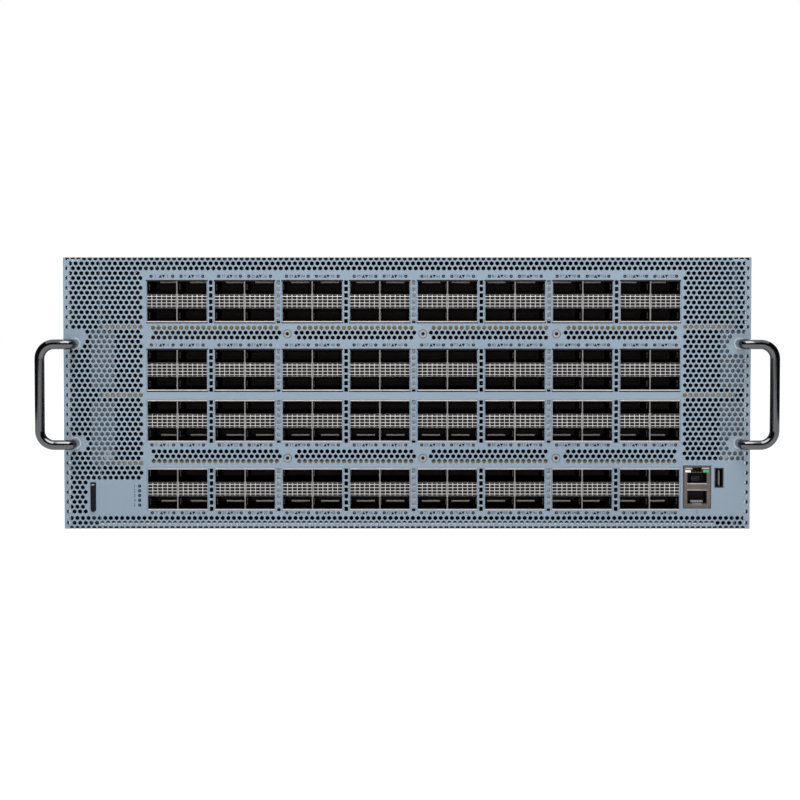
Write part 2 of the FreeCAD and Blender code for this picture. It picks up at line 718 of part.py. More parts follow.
def fan_rotor(column, row):
    """Hub with flat slanted blades, turning about Y."""
    x, z = fan_centre(column, row)
    front = FAN_FRONT + STATOR_T + HUB_GAP
    hub = extrude_y(polygon(2 * BLADES, HUB_R), front, front + HUB_L)
    half_swing = BLADE_CHORD / 2 * math.cos(math.radians(BLADE_PITCH)) + BLADE_T / 2
    tip = math.sqrt((BORE_R - TIP_GAP) ** 2 - half_swing ** 2)
    solids = [hub]
    for i in range(BLADES):
        blade = block((HUB_R, tip), (-BLADE_T / 2, BLADE_T / 2), (-BLADE_CHORD / 2, BLADE_CHORD / 2))
        blade.rotate(V(), V(1, 0, 0), BLADE_PITCH)
        blade.translate(V(0, front + HUB_L / 2, 0))
        blade.rotate(V(), V(0, 1, 0), 360 / BLADES * i)
        solids.append(blade)
    rotor = fused(solids)
    rotor.translate(V(x, 0, z))
    return rotor


def build():
    os.makedirs("parts", exist_ok=True)
    save("chassis_tray", [chassis_tray()])
    save("top_cover", [top_cover()])
    save("front_panel", [front_panel()])
    save("front_handles", [bow_handle(-1), bow_handle(1)])
    save("upper_port_board", [board(UPPER_TOP - BOARD_T, PORT_BOARD_D)])
    save("main_board", [board(MAIN_LOW, MAIN_BOARD_D)])
    save("lower_port_board", [board(LOWER_LOW, PORT_BOARD_D)])
    for number, (face, up) in enumerate(CAGE_ROWS, 1):
        save("cages_row_%d" % number, cage_row(face, up))
    save("network_jacks", jack_stack())
    save("bus_socket", [bus_socket()])
    save("asset_tag", [asset_tag()])
    save("tag_guide", [tag_guide()])
    save("left_bracket", [board_bracket(-1)])
    save("right_bracket", [board_bracket(1)])
    save("board_posts", board_posts())
    save("switch_chip", [switch_chip()])
    save("heat_sink", [heat_sink()])
    save("bay_walls", bay_walls())
    save("psu_backplane", [psu_backplane()])
    save("fan_board", [fan_board()])
    for index in range(PSU_COUNT):
        save("psu_case_%d" % (index + 1), [psu_case(index)])
        save("psu_pull_%d" % (index + 1), [psu_pull(index)])
        save("psu_latch_%d" % (index + 1), [psu_latch(index)])
    for row in range(FAN_ROWS):
        for column in range(FAN_COLUMNS):
            number = row * FAN_COLUMNS + column + 1
            save("fan_frame_%d" % number, [fan_frame(column, row)])
            save("fan_rotor_%d" % number, [fan_rotor(column, row)])
            save("fan_latch_%d" % number, [fan_latch(column, row)])


build()
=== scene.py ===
"""Rack network switch: the visual model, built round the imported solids.

Sizes are millimetres in the same frame as the solids: +Z up, the ports face -Y, the fans and the power
supplies face +Y. The bench helpers turn them into metres.
"""

import logging
import math
from collections.abc import Callable, Iterable
from dataclasses import dataclass, field
from enum import Enum
from functools import cache

import bmesh
import bpy
from mathutils import Matrix, Vector
from mathutils.geometry import delaunay_2d_cdt

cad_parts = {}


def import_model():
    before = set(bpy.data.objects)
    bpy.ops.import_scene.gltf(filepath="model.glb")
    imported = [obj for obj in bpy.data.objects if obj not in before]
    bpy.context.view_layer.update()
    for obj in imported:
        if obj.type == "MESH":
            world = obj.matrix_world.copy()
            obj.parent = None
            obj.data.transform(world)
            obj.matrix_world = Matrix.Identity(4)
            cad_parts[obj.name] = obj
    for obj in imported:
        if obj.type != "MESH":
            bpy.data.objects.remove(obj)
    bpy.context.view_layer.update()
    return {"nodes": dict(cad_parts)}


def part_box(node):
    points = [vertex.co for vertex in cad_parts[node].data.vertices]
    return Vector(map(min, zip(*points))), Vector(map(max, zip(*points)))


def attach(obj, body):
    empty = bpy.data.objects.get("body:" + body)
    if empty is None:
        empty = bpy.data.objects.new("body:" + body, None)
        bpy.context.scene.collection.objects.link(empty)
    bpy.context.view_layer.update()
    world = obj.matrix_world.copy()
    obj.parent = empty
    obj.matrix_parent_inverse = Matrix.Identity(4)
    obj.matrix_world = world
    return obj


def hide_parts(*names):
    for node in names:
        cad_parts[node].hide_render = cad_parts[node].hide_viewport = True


LOG = logging.getLogger("rack_switch")
MM = 0.001
NEAR = 0.01  # places closer than this are taken as one
FLAT = 0.9  # a normal that goes this far along an axis faces that way
SIDES = (-1, 1)  # left and right
UPRIGHT = (math.pi / 2, 0, 0)  # turn that stands a flat shape up in the plane of the panel

Span = tuple[float, float]
Place = tuple[float, float, float]
Colour = tuple[float, float, float]
Obj = bpy.types.Object
Tree = bpy.types.NodeTree
Socket = bpy.types.NodeSocket
PairTest = Callable[[Vector, Vector], bool]


class Body(str, Enum):
    """Rigid bodies that a single piece can ride on."""

    CHASSIS = "chassis"
    TAG = "tag"


class Slot(str, Enum):
    """Material slots of the record."""

    PANEL = "panel_paint"
    BRACKET = "bracket_steel"
    NICKEL = "cage_nickel"
    JACK = "jack_shield"
    CHROME = "chrome"
    BLACK = "black_plastic"
    ROTOR = "rotor_plastic"
    LATCH = "latch_plastic"
    SUPPLY = "supply_steel"


# Places and spans


def metres(*lengths: float) -> Place:
    """Turn millimetres into metres."""
    return tuple(length * MM for length in lengths)


def spans(node: str) -> tuple[Span, Span, Span]:
    """Read where a solid lies along X, Y and Z."""
    low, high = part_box(node)
    return tuple((a / MM, b / MM) for a, b in zip(low, high))


def middle(span: Span) -> float:
    """Middle of a span."""
    return (span[0] + span[1]) / 2


def extent(span: Span) -> float:
    """Length of a span."""
    return span[1] - span[0]


def about(centre: float, half: float) -> Span:
    """Span of a half width on both sides of a centre."""
    return centre - half, centre + half


def beyond(place: float, near: float, far: float) -> Span:
    """Span between two distances from a place."""
    return place + near, place + far


def shrink(span: Span, by: float) -> Span:
    """Span drawn in at both ends."""
    return span[0] + by, span[1] - by


def within(place: float, span: Span) -> bool:
    """Whether a place lies in a span."""
    return span[0] < place < span[1]


def shift_by(*move: float) -> Matrix:
    """Matrix of a move in millimetres."""
    return Matrix.Translation(metres(*move))


def faces_front(at: Vector, normal: Vector) -> bool:
    """Whether a face looks towards -Y."""
    return normal.y < -FLAT


def faces_rear(at: Vector, normal: Vector) -> bool:
    """Whether a face looks towards +Y."""
    return normal.y > FLAT


# Bench helpers


def only(obj: Obj) -> None:
    """Make one object the whole selection.

    Args:
        obj: the object.
    """
    bpy.ops.object.select_all(action="DESELECT")
    obj.select_set(True)
    bpy.context.view_layer.objects.active = obj


def settle(obj: Obj, name: str) -> Obj:
    """Name a new object and move its place into its mesh.

    Args:
        obj: the object.
        name: its name.

    Returns:
        The same object.
    """
    only(obj)
    obj.name = obj.data.name = name
    bpy.ops.object.transform_apply(location=True, rotation=True, scale=True)
    return obj


class Bench:
    """Edit-mode work on one object: faces, edges and points are picked by place, then shaped."""

    merge_reach = 0.002
    trim_reach = 0.001

    def __init__(self, obj: Obj) -> None:
        """Take the object to be shaped."""
        self.obj = obj

    def __enter__(self) -> "Bench":
        """Open the mesh.

        Returns:
            The bench, with everything picked.
        """
        only(self.obj)
        bpy.ops.object.mode_set(mode="EDIT")
        bpy.ops.mesh.select_mode(type="FACE")
        self.all()
        return self

    def __exit__(self, *_: object) -> None:
        """Close the mesh."""
        bpy.ops.object.mode_set(mode="OBJECT")

    def all(self) -> None:
        """Pick everything."""
        bpy.ops.mesh.select_all(action="SELECT")

    def pick(self, kind: str, test: Callable[..., bool]) -> None:
        """Pick what passes a test, and nothing else.

        Args:
            kind: FACE, EDGE or VERT.
            test: takes a face, an edge or a point of the mesh.
        """
        bpy.ops.mesh.select_mode(type=kind)
        bpy.ops.mesh.select_all(action="DESELECT")
        shape = bmesh.from_edit_mesh(self.obj.data)
        for element in {"FACE": shape.faces, "EDGE": shape.edges, "VERT": shape.verts}[kind]:
            if test(element):
                element.select_set(True)
        if kind == "VERT":
            shape.select_flush_mode()
        bmesh.update_edit_mesh(self.obj.data)

    def faces(self, test: PairTest) -> None:
        """Pick faces by their middle in millimetres and their normal."""
        self.pick("FACE", lambda face: test(face.calc_center_median() / MM, face.normal))

    def edges(self, test: PairTest) -> None:
        """Pick edges by their two ends in millimetres."""
        self.pick("EDGE", lambda edge: test(edge.verts[0].co / MM, edge.verts[1].co / MM))

    def every_edge(self) -> None:
        """Pick all the edges."""
        self.pick("EDGE", lambda edge: True)

    def points(self, test: Callable[[Vector], bool]) -> None:
        """Pick points by their place in millimetres."""
        self.pick("VERT", lambda point: test(point.co / MM))

    def bisect(self, axis: int, place: float, **options: object) -> None:
        """Cut right across the mesh.

        Args:
            axis: 0, 1 or 2, the axis that the cut is square to.
            place: where it lies on that axis.
            options: further settings of the operator.
        """
        self.all()
        normal = Vector([float(axis == i) for i in range(3)])
        bpy.ops.mesh.bisect(plane_co=normal * place * MM, plane_no=normal, **options)

    def cut(self, axis: int, places: Iterable[float]) -> None:
        """Cut right across the mesh at places along one axis."""
        for place in places:
            self.bisect(axis, place)

    def trim(self, axis: int, place: float, upward: bool) -> None:
        """Cut everything off beyond a place and close the cut."""
        self.bisect(axis, place, use_fill=True, threshold=self.trim_reach * MM, clear_outer=upward,
                    clear_inner=not upward)

    def inset(self, width: float, each: bool = False) -> None:
        """Inset the picked faces, together or each for itself."""
        bpy.ops.mesh.inset(thickness=width * MM, use_individual=each, use_even_offset=True)

    def extrude(self, move: Place) -> None:
        """Extrude the picked faces."""
        bpy.ops.mesh.extrude_region_move(TRANSFORM_OT_translate={"value": metres(*move)})

    def extrude_edges(self, move: Place) -> None:
        """Extrude the picked edges."""
        bpy.ops.mesh.extrude_edges_move(TRANSFORM_OT_translate={"value": metres(*move)})

    def move(self, by: Place) -> None:
        """Move what is picked."""
        bpy.ops.transform.translate(value=metres(*by))

    def scale(self, by: Place, centre: Place) -> None:
        """Scale what is picked about a place."""
        bpy.ops.transform.resize(value=by, center_override=metres(*centre))

    def bevel(self, width: float, steps: int = 1) -> None:
        """Round over the picked edges."""
        bpy.ops.mesh.bevel(offset=width * MM, segments=steps, affect="EDGES", clamp_overlap=True)

    def spin(self, centre: Place, axis: Place, degrees: float, steps: int) -> None:
        """Sweep the picked edges round a centre, right-handed about the axis."""
        bpy.ops.mesh.spin(steps=steps, angle=-math.radians(degrees), center=metres(*centre), axis=axis)

    def cap(self) -> None:
        """Close the picked loop with one face."""
        bpy.ops.mesh.edge_face_add()

    def paint(self, index: int) -> None:
        """Give the picked faces one of the object's materials."""
        self.obj.active_material_index = index
        bpy.ops.object.material_slot_assign()

    def paint_inside(self, x: Span, y: Span, z: Span) -> None:
        """Give the faces whose middles lie in a block the object's second material."""
        self.faces(lambda at, normal: all(map(within, at, (x, y, z))))
        self.paint(1)

    def close_up(self) -> None:
        """Merge doubles and turn all faces outwards."""
        self.all()
        bpy.ops.mesh.remove_doubles(threshold=self.merge_reach * MM)
        bpy.ops.mesh.normals_make_consistent(inside=False)


def box(name: str, x: Span, y: Span, z: Span, round_over: float = 0.0, steps: int = 1) -> Obj:
    """Add a block between spans and round over its edges.

    Args:
        name: name of the object.
        x, y, z: where it lies along each axis.
        round_over: width of the rounded edges, or 0 for none.
        steps: facets across a rounded edge.

    Returns:
        The block, still open to more shaping.
    """
    bpy.ops.mesh.primitive_cube_add(size=1, location=metres(middle(x), middle(y), middle(z)),
                                    scale=metres(extent(x), extent(y), extent(z)))
    obj = settle(bpy.context.object, name)
    if round_over:
        with Bench(obj) as bench:
            bench.every_edge()
            bench.bevel(round_over, steps)
    return obj


def drum(name: str, radius: float, centre: Span, y: Span, sides: int = 24) -> Obj:
    """Add a round bar along Y.

    Args:
        name: name of the object.
        radius: its radius.
        centre: its axis, as X and Z.
        y: its ends.
        sides: facets round it.

    Returns:
        The bar.
    """
    bpy.ops.mesh.primitive_cylinder_add(
        vertices=sides, radius=radius * MM, depth=extent(y) * MM,
        location=metres(centre[0], middle(y), centre[1]), rotation=UPRIGHT)
    return settle(bpy.context.object, name)


def loop(name: str, sides: int, half: Span, centre: Place) -> Obj:
    """Add an open loop in the plane of the panel.

    Args:
        name: name of the object.
        sides: 4 for a rectangle, or the number of points of a regular polygon with a point at its top.
        half: half its width and half its height, to the points.
        centre: its middle.

    Returns:
        The loop, edges only.
    """
    if sides == 4:
        bpy.ops.mesh.primitive_plane_add(size=2, location=metres(*centre), rotation=UPRIGHT)
    else:
        bpy.ops.mesh.primitive_circle_add(vertices=sides, radius=1, location=metres(*centre), rotation=UPRIGHT)
    obj = bpy.context.object
    obj.scale = metres(*half, 1)
    settle(obj, name)
    if sides == 4:
        with Bench(obj):
            bpy.ops.mesh.delete(type="ONLY_FACE")
    return obj


def grid_sheet(name: str, cells: tuple[int, int], size: Span, centre: Place, turn: Place = UPRIGHT) -> Obj:
    """Add a flat sheet that is divided into cells.

    Args:
        name: name of the object.
        cells: how many there are across and along.
        size: width and height of the sheet.
        centre: its middle.
        turn: its rotation, in the plane of the panel if not given.

    Returns:
        The sheet.
    """
    bpy.ops.mesh.primitive_grid_add(x_subdivisions=cells[0], y_subdivisions=cells[1], size=1,
                                    location=metres(*centre), rotation=turn)
    sheet = bpy.context.object
    sheet.scale = metres(*size, 1)
    return settle(sheet, name)


def fill_flat(obj: Obj, y: float) -> None:
    """Fill the flat region between a border and the rounded or angular holes inside it.

    The fill operator loses its way among thousands of loops, so the region is divided into triangles here.

    Args:
        obj: the object with the loops.
        y: where they lie along Y.
    """
    shape = bmesh.new()
    shape.from_mesh(obj.data)
    points = [point for point in shape.verts if abs(point.co.y / MM - y) < NEAR]
    index = {point: i for i, point in enumerate(points)}
    edges = [[index[end] for end in edge.verts] for edge in shape.edges if all(end in index for end in edge.verts)]
    loop_of = list(range(len(points)))
    for first, second in edges * 2:
        loop_of[first] = loop_of[second] = min(loop_of[first], loop_of[second])
    places = [Vector((point.co.x, point.co.z)) / MM for point in points]
    border = loop_of[min(range(len(points)), key=lambda i: places[i].x)]
    _, _, faces, origins, _, _ = delaunay_2d_cdt(places, edges, [], 0, 1e-4)
    for face in faces:
        corners = [origins[corner][0] for corner in face]
        loops = {loop_of[corner] for corner in corners}
        if len(loops) > 1 or border in loops:
            shape.faces.new([points[corner] for corner in corners])
    shape.to_mesh(obj.data)
    shape.free()


def plate_of(name: str, loops: list[Obj], y: Span) -> Obj:
    """Make a plate with holes out of a border and the loops inside it.

    Args:
        name: name of the plate.
        loops: the border and the holes, at the front of the plate.
        y: its front and rear.

    Returns:
        The plate.
    """
    plate = join(name, loops)
    with Bench(plate) as bench:
        bench.every_edge()
        bench.extrude_edges((0, extent(y), 0))
    for place in y:
        fill_flat(plate, place)
    with Bench(plate) as bench:
        bench.close_up()
    return plate


def modify(obj: Obj, kind: str, **settings: object) -> None:
    """Add a modifier and apply it.

    Args:
        obj: what it changes.
        kind: type of the modifier.
        settings: its values.
    """
    only(obj)
    modifier = obj.modifiers.new(kind.lower(), kind)
    for key, value in settings.items():
        setattr(modifier, key, value)
    bpy.ops.object.modifier_apply(modifier=modifier.name)


def array(obj: Obj, count: int, step: Place) -> None:
    """Repeat an object along a step."""
    if count > 1:
        modify(obj, "ARRAY", count=count, use_relative_offset=False, use_constant_offset=True,
               constant_offset_displace=metres(*step))


def clone(obj: Obj, name: str, shift: Place = (0, 0, 0), turn: Matrix | None = None) -> Obj:
    """Copy an object with its own mesh.

    Args:
        obj: what is copied.
        name: name of the copy.
        shift: how far the copy is moved.
        turn: rotation about the origin before the move.

    Returns:
        The copy.
    """
    copy = obj.copy()
    copy.data = obj.data.copy()
    copy.name = copy.data.name = name
    copy.data.transform(shift_by(*shift) @ (turn or Matrix.Identity(4)))
    bpy.context.scene.collection.objects.link(copy)
    return copy


def scrap(*parts: Obj) -> None:
    """Delete patterns that were only copied from."""
    for part in parts:
        bpy.data.objects.remove(part)


def scatter(pattern: Obj, places: Iterable[Place], turn: Matrix | None = None) -> list[Obj]:
    """Copy a pattern to places, and delete it.

    Args:
        pattern: what is copied.
        places: how far each copy is moved.
        turn: rotation of all the copies about the origin before the move.

    Returns:
        The copies.
    """
    copies = [clone(pattern, pattern.name, place, turn) for place in places]
    scrap(pattern)
    return copies


def join(name: str, parts: list[Obj]) -> Obj:
    """Join objects into one that keeps all their materials.

    Args:
        name: name of the whole.
        parts: what is joined, the first of which stays.

    Returns:
        The whole.
    """
    bpy.ops.object.select_all(action="DESELECT")
    for part in parts:
        part.select_set(True)
    bpy.context.view_layer.objects.active = parts[0]
    if len(parts) > 1:
        bpy.ops.object.join()
    parts[0].name = parts[0].data.name = name
    return parts[0]


def crown(obj: Obj, test: PairTest, rim: float, rise: float) -> Obj:
    """Raise or sink the middle of an end face.

    Args:
        obj: what is shaped.
        test: picks the end face.
        rim: width of the sloping edge round the middle.
        rise: move of the middle along Y.

    Returns:
        The same object.
    """
    with Bench(obj) as bench:
        bench.faces(test)
        bench.inset(rim)
        bench.move((0, rise, 0))
    return obj


def soften(obj: Obj, degrees: float = 32.0) -> None:
    """Smooth the shading, but keep edges sharper than an angle."""
    only(obj)
    bpy.ops.object.shade_smooth_by_angle(angle=math.radians(degrees))


def place_piece(obj: Obj, slot: Slot, *nodes: str, body: str = Body.CHASSIS.value) -> None:
    """Hand a finished piece to the frame.

    Args:
        obj: the piece.
        slot: the record's slot for the piece; not used.
        nodes: the solids that it stands for.
        body: the body that it rides on.
    """
    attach(obj, body)
    if nodes:
        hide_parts(*nodes)
    obj.data.calc_loop_triangles()
    LOG.info("%s: %d triangles on %s", obj.name, len(obj.data.loop_triangles), body)


# Finishes


def feed(node: bpy.types.Node, inputs: dict[str | int, object]) -> None:
    """Fill the inputs of a node.

    Args:
        node: the node.
        inputs: name or number of an input to the socket that is linked to it, or to its value.
    """
    for key, value in inputs.items():
        if isinstance(value, Socket):
            node.id_data.links.new(value, node.inputs[key])
        else:
            node.inputs[key].default_value = value


def add_node(tree: Tree, kind: str, inputs: dict[str | int, object] | None = None) -> bpy.types.Node:
    """Add a shader node and fill its inputs.

    Args:
        tree: where it goes.
        kind: its type, without the first words that all shader nodes share.
        inputs: what its inputs are filled with, if anything.

    Returns:
        The node.
    """
    node = tree.nodes.new("ShaderNode" + kind)
    feed(node, inputs or {})
    return node


def add_group(tree: Tree, group: Tree, inputs: dict[str | int, object]) -> bpy.types.NodeOutputs:
    """Place a shared group in a node tree.

    Args:
        tree: where it goes.
        group: the shared group.
        inputs: what its inputs are filled with.

    Returns:
        Its outputs.
    """
    node = add_node(tree, "Group")
    node.node_tree = group
    feed(node, inputs)
    return node.outputs


def calc(tree: Tree, operation: str, *values: Socket | float) -> Socket:
    """Add a math node.

    Args:
        tree: where it goes.
        operation: what the node works out.
        values: its inputs, each a socket or a number.

    Returns:
        The socket with the result.
    """
    node = add_node(tree, "Math")
    node.operation = operation
    feed(node, dict(enumerate(values)))
    return node.outputs["Value"]


def mix_colours(tree: Tree, share: Socket, base: Socket, other: Socket | tuple[float, ...]) -> Socket:
    """Lay another colour over a base.

    Args:
        tree: where the node goes.
        share: how much of the other colour shows.
        base: the colour below.
        other: the colour laid over it.

    Returns:
        The socket that carries the mixed colour.
    """
    node = add_node(tree, "Mix")
    node.data_type = "RGBA"
    feed(node, {0: share, 6: base, 7: other})
    return node.outputs[2]


def mix_shaders(tree: Tree, share: Socket, below: Socket, above: Socket, end: str) -> None:
    """Mix two shaders into an output node."""
    mix = add_node(tree, "MixShader", {"Fac": share, 1: below, 2: above})
    feed(tree.nodes[end], {"Surface": mix.outputs["Shader"]})


def split_vector(tree: Tree, source: str, output: str) -> bpy.types.NodeOutputs:
    """Split an output of a geometry or coordinate node into X, Y and Z."""
    return add_node(tree, "SeparateXYZ", {"Vector": add_node(tree, source).outputs[output]}).outputs


def new_group(name: str, inputs: dict[str, tuple[str, object]], outputs: dict[str, str]) -> Tree:
    """Start a shader node group.

    Args:
        name: name of the group.
        inputs: socket name to its type and first value.
        outputs: socket name to its type.

    Returns:
        The group with its input and output nodes, which are named In and Out.
    """
    tree = bpy.data.node_groups.new(name, "ShaderNodeTree")
    for label, (kind, value) in inputs.items():
        socket = tree.interface.new_socket(label, in_out="INPUT", socket_type="NodeSocket" + kind)
        socket.default_value = value
    for label, kind in outputs.items():
        tree.interface.new_socket(label, in_out="OUTPUT", socket_type="NodeSocket" + kind)
    tree.nodes.new("NodeGroupInput").name = "In"
    tree.nodes.new("NodeGroupOutput").name = "Out"
    return tree


@cache
def tone_drift() -> Tree:
    """Group: a colour that wanders slowly between two tones over the surface.

    Returns:
        The group, made once.
    """
    grey = ("Color", (0.5, 0.5, 0.5, 1))
    tree = new_group("tone_drift", {"Tone": grey, "Other": grey, "Scale": ("Float", 20.0)}, {"Colour": "Color"})
    given = tree.nodes["In"].outputs
    where = add_node(tree, "TexCoord").outputs["Object"]
    noise = add_node(tree, "TexNoise", {"Vector": where, "Scale": given["Scale"], "Detail": 5.0})
    spread = add_node(tree, "MapRange", {"Value": noise.outputs["Fac"], "From Min": 0.32, "From Max": 0.68})
    colour = mix_colours(tree, spread.outputs["Result"], given["Tone"], given["Other"])
    feed(tree.nodes["Out"], {"Colour": colour})
    return tree


@cache
def fine_grain() -> Tree:
    """Group: fine grain, which may be drawn out along an axis, as a height and a roughness.

    Returns:
        The group, made once.
    """
    tree = new_group("fine_grain", {"Scale": ("Float", 900.0), "Stretch": ("Vector", (1, 1, 1)),
                                    "Smoothest": ("Float", 0.3), "Roughest": ("Float", 0.5)},
                     {"Height": "Float", "Roughness": "Float"})
    given = tree.nodes["In"].outputs
    drawn = add_node(tree, "VectorMath", {0: add_node(tree, "TexCoord").outputs["Object"], 1: given["Stretch"]})
    drawn.operation = "MULTIPLY"
    noise = add_node(tree, "TexNoise", {"Vector": drawn.outputs["Vector"], "Scale": given["Scale"], "Detail": 3.0})
    rough = add_node(tree, "MapRange", {"Value": noise.outputs["Fac"], "From Min": 0.3, "From Max": 0.7,
                                        "To Min": given["Smoothest"], "To Max": given["Roughest"]})
    feed(tree.nodes["Out"], {"Height": noise.outputs["Fac"], "Roughness": rough.outputs["Result"]})
    return tree


@dataclass(frozen=True)
class Finish:
    """One surface finish, made of the shared groups with its own values."""

    name: str
    tone: Colour
    other: Colour
    smoothest: float
    roughest: float
    metallic: float = 0.0
    drift: float = 20.0
    grain: float = 900.0
    stretch: Place = (1.0, 1.0, 1.0)
    bump: float = 0.1
    coat: float = 0.0
    specular: float = 0.5
    relief: float = 0.05

    def colour_socket(self, tree: Tree) -> Socket:
        """Build the colour in a material's node tree."""
        tones = {"Tone": (*self.tone, 1), "Other": (*self.other, 1), "Scale": self.drift}
        return add_group(tree, tone_drift(), tones)["Colour"]

    @cache
    def material(self) -> bpy.types.Material:
        """Build the material.

        Returns:
            A node material for this finish, made once.
        """
        material = bpy.data.materials.new(self.name)
        material.use_nodes = True
        tree = material.node_tree
        grain = add_group(tree, fine_grain(), {"Scale": self.grain, "Stretch": self.stretch,
                                               "Smoothest": self.smoothest, "Roughest": self.roughest})
        bump = add_node(tree, "Bump", {"Strength": self.bump, "Distance": self.relief * MM,
                                       "Height": grain["Height"]})
        feed(tree.nodes["Principled BSDF"], {
            "Base Color": self.colour_socket(tree), "Roughness": grain["Roughness"], "Normal": bump.outputs["Normal"],
            "Metallic": self.metallic, "Coat Weight": self.coat, "Specular IOR Level": self.specular})
        return material


@dataclass(frozen=True)
class BoardFinish(Finish):
    """Circuit board: tan laminate at the cut edges, dark green mask on the two faces."""

    mask: Colour = (0.012, 0.05, 0.028)

    def colour_socket(self, tree: Tree) -> Socket:
        """Build the laminate and mask colour, chosen by which way the face points."""
        level = calc(tree, "ABSOLUTE", split_vector(tree, "NewGeometry", "True Normal")["Z"])
        return mix_colours(tree, level, Finish.colour_socket(self, tree), (*self.mask, 1))


@dataclass(frozen=True)
class FoldedZinc(Finish):
    """Zinc sheet with painted light: its front faces are painted brighter as a highlight, and painted shade darkens
    them outside their bends.
    """

    bend_x: float = 217.45
    low_bend: float = 1.55
    high_bend: float = 172.75
    shade: Colour = (0.02, 0.022, 0.025)
    bare: Colour = (0.74, 0.78, 0.84)

    def colour_socket(self, tree: Tree) -> Socket:
        """Build the zinc colour, with a painted highlight on the front faces and painted shade where they lie outside
        their bends.

        Args:
            tree: the material's node tree.

        Returns:
            The socket that carries the base colour.
        """
        place = split_vector(tree, "TexCoord", "Object")
        below = calc(tree, "LESS_THAN", place["Z"], self.low_bend * MM)
        above = calc(tree, "GREATER_THAN", place["Z"], self.high_bend * MM)
        beside = calc(tree, "GREATER_THAN", calc(tree, "ABSOLUTE", place["X"]), self.bend_x * MM)
        outside = calc(tree, "MAXIMUM", calc(tree, "MAXIMUM", below, above), beside)
        # Front faces get the painted highlight; those outside the bends get painted shade.
        front = calc(tree, "LESS_THAN", split_vector(tree, "NewGeometry", "True Normal")["Y"], -FLAT)
        lit_front = mix_colours(tree, front, Finish.colour_socket(self, tree), (*self.bare, 1))
        return mix_colours(tree, calc(tree, "MULTIPLY", outside, front), lit_front, (*self.shade, 1))


PANEL_PAINT = Finish("panel_paint", (0.235, 0.298, 0.36), (0.213, 0.273, 0.336), 0.38, 0.52, drift=9.0,
                     grain=2400.0, bump=0.25)
ZINC = Finish("zinc_plate", (0.36, 0.38, 0.405), (0.325, 0.345, 0.37), 0.35, 0.5, metallic=0.5, drift=30.0,
              grain=300.0, stretch=(1.0, 0.12, 1.0), bump=0.06)
FOLDED_ZINC = FoldedZinc("folded_zinc", ZINC.tone, ZINC.other, ZINC.smoothest, ZINC.roughest, ZINC.metallic,
                         ZINC.drift, ZINC.grain, ZINC.stretch, ZINC.bump)
BRIGHT_ZINC = Finish("bright_zinc", (0.62, 0.65, 0.68), (0.52, 0.55, 0.58), 0.35, 0.5, metallic=0.4, drift=60.0,
                     grain=700.0, bump=0.08)
# A darker copy of the zinc: painted shade for the brackets, which lie in shade behind the panel.
BRACKET_ZINC_IN_SHADE = Finish("bracket_zinc_in_shade", (0.25, 0.27, 0.295), (0.19, 0.207, 0.226), 0.4, 0.55, metallic=0.3,
                      drift=90.0, grain=700.0, bump=0.08)
NICKEL = Finish("nickel_plate", (0.60, 0.58, 0.575), (0.51, 0.49, 0.485), 0.34, 0.46, metallic=0.3, drift=120.0,
                grain=1500.0, bump=0.05)
# A darker copy of the nickel: painted shade on the dividers' front edges and on the tabs deep in the ports.
SHADED_NICKEL = Finish("shaded_nickel", (0.25, 0.235, 0.22), (0.18, 0.17, 0.16), 0.4, 0.55, metallic=0.3, drift=250.0,
                     grain=1500.0, bump=0.05)
# Painted shade: the dark of the ports' and pockets' insides, recesses and gaps; it is also the connectors' own dark
# plastic.
PORT_SHADE = Finish("dark_plastic_and_painted_shade", (0.019, 0.015, 0.0155), (0.028, 0.022, 0.022), 0.5, 0.7, drift=200.0,
                    bump=0.05, specular=0.2)
JACK_SHIELD = Finish("jack_shield", (0.16, 0.135, 0.115), (0.115, 0.095, 0.08), 0.3, 0.45, metallic=0.6,
                     drift=150.0, grain=1200.0, bump=0.06)
CHROME = Finish("chrome", (0.135, 0.136, 0.144), (0.115, 0.116, 0.124), 0.05, 0.1, metallic=1.0, drift=40.0,
                grain=1800.0, bump=0.01)
BLACK = Finish("black_moulding", (0.014, 0.014, 0.017), (0.020, 0.020, 0.023), 0.35, 0.5, drift=60.0,
               grain=1600.0, bump=0.2)
ROTOR = Finish("rotor_moulding", (0.075, 0.076, 0.08), (0.058, 0.059, 0.062), 0.3, 0.45, drift=50.0, bump=0.08)
TAG_BLACK = Finish("tag_black", (0.005, 0.005, 0.006), (0.008, 0.008, 0.009), 0.45, 0.6, drift=60.0,
                   grain=1600.0, bump=0.15, specular=0.15)
LATCH = Finish("latch_moulding", (0.05, 0.13, 0.30), (0.04, 0.105, 0.25), 0.3, 0.42, drift=80.0, grain=1500.0,
               bump=0.15, coat=0.1)
# Painted shade: the dark ring in each lamp hole stands for the shaded gap round the light pipe.
LAMP_GAP_SHADE = Finish("lamp_gap_shade", (0.010, 0.014, 0.020), (0.016, 0.020, 0.027), 0.4, 0.55, drift=400.0, bump=0.05,
                specular=0.2)
LAMP = Finish("lamp_lens", (0.15, 0.19, 0.23), (0.10, 0.13, 0.16), 0.12, 0.2, drift=300.0, bump=0.02, coat=0.5)
CLEAR_LAMP = Finish("clear_lamp", (0.78, 0.78, 0.76), (0.66, 0.66, 0.65), 0.15, 0.25, drift=300.0, bump=0.02,
                    coat=0.5)
GREEN_LAMP = Finish("green_lamp", (0.02, 0.42, 0.16), (0.015, 0.32, 0.12), 0.15, 0.25, drift=300.0, bump=0.02,
                    coat=0.5)
INK = Finish("printed_black", (0.004, 0.006, 0.009), (0.007, 0.009, 0.013), 0.5, 0.65, drift=400.0, bump=0.05,
             specular=0.1)
PALE_INK = Finish("printed_grey", (0.018, 0.026, 0.038), (0.028, 0.037, 0.05), 0.5, 0.65, drift=400.0, bump=0.05,
                  specular=0.1)
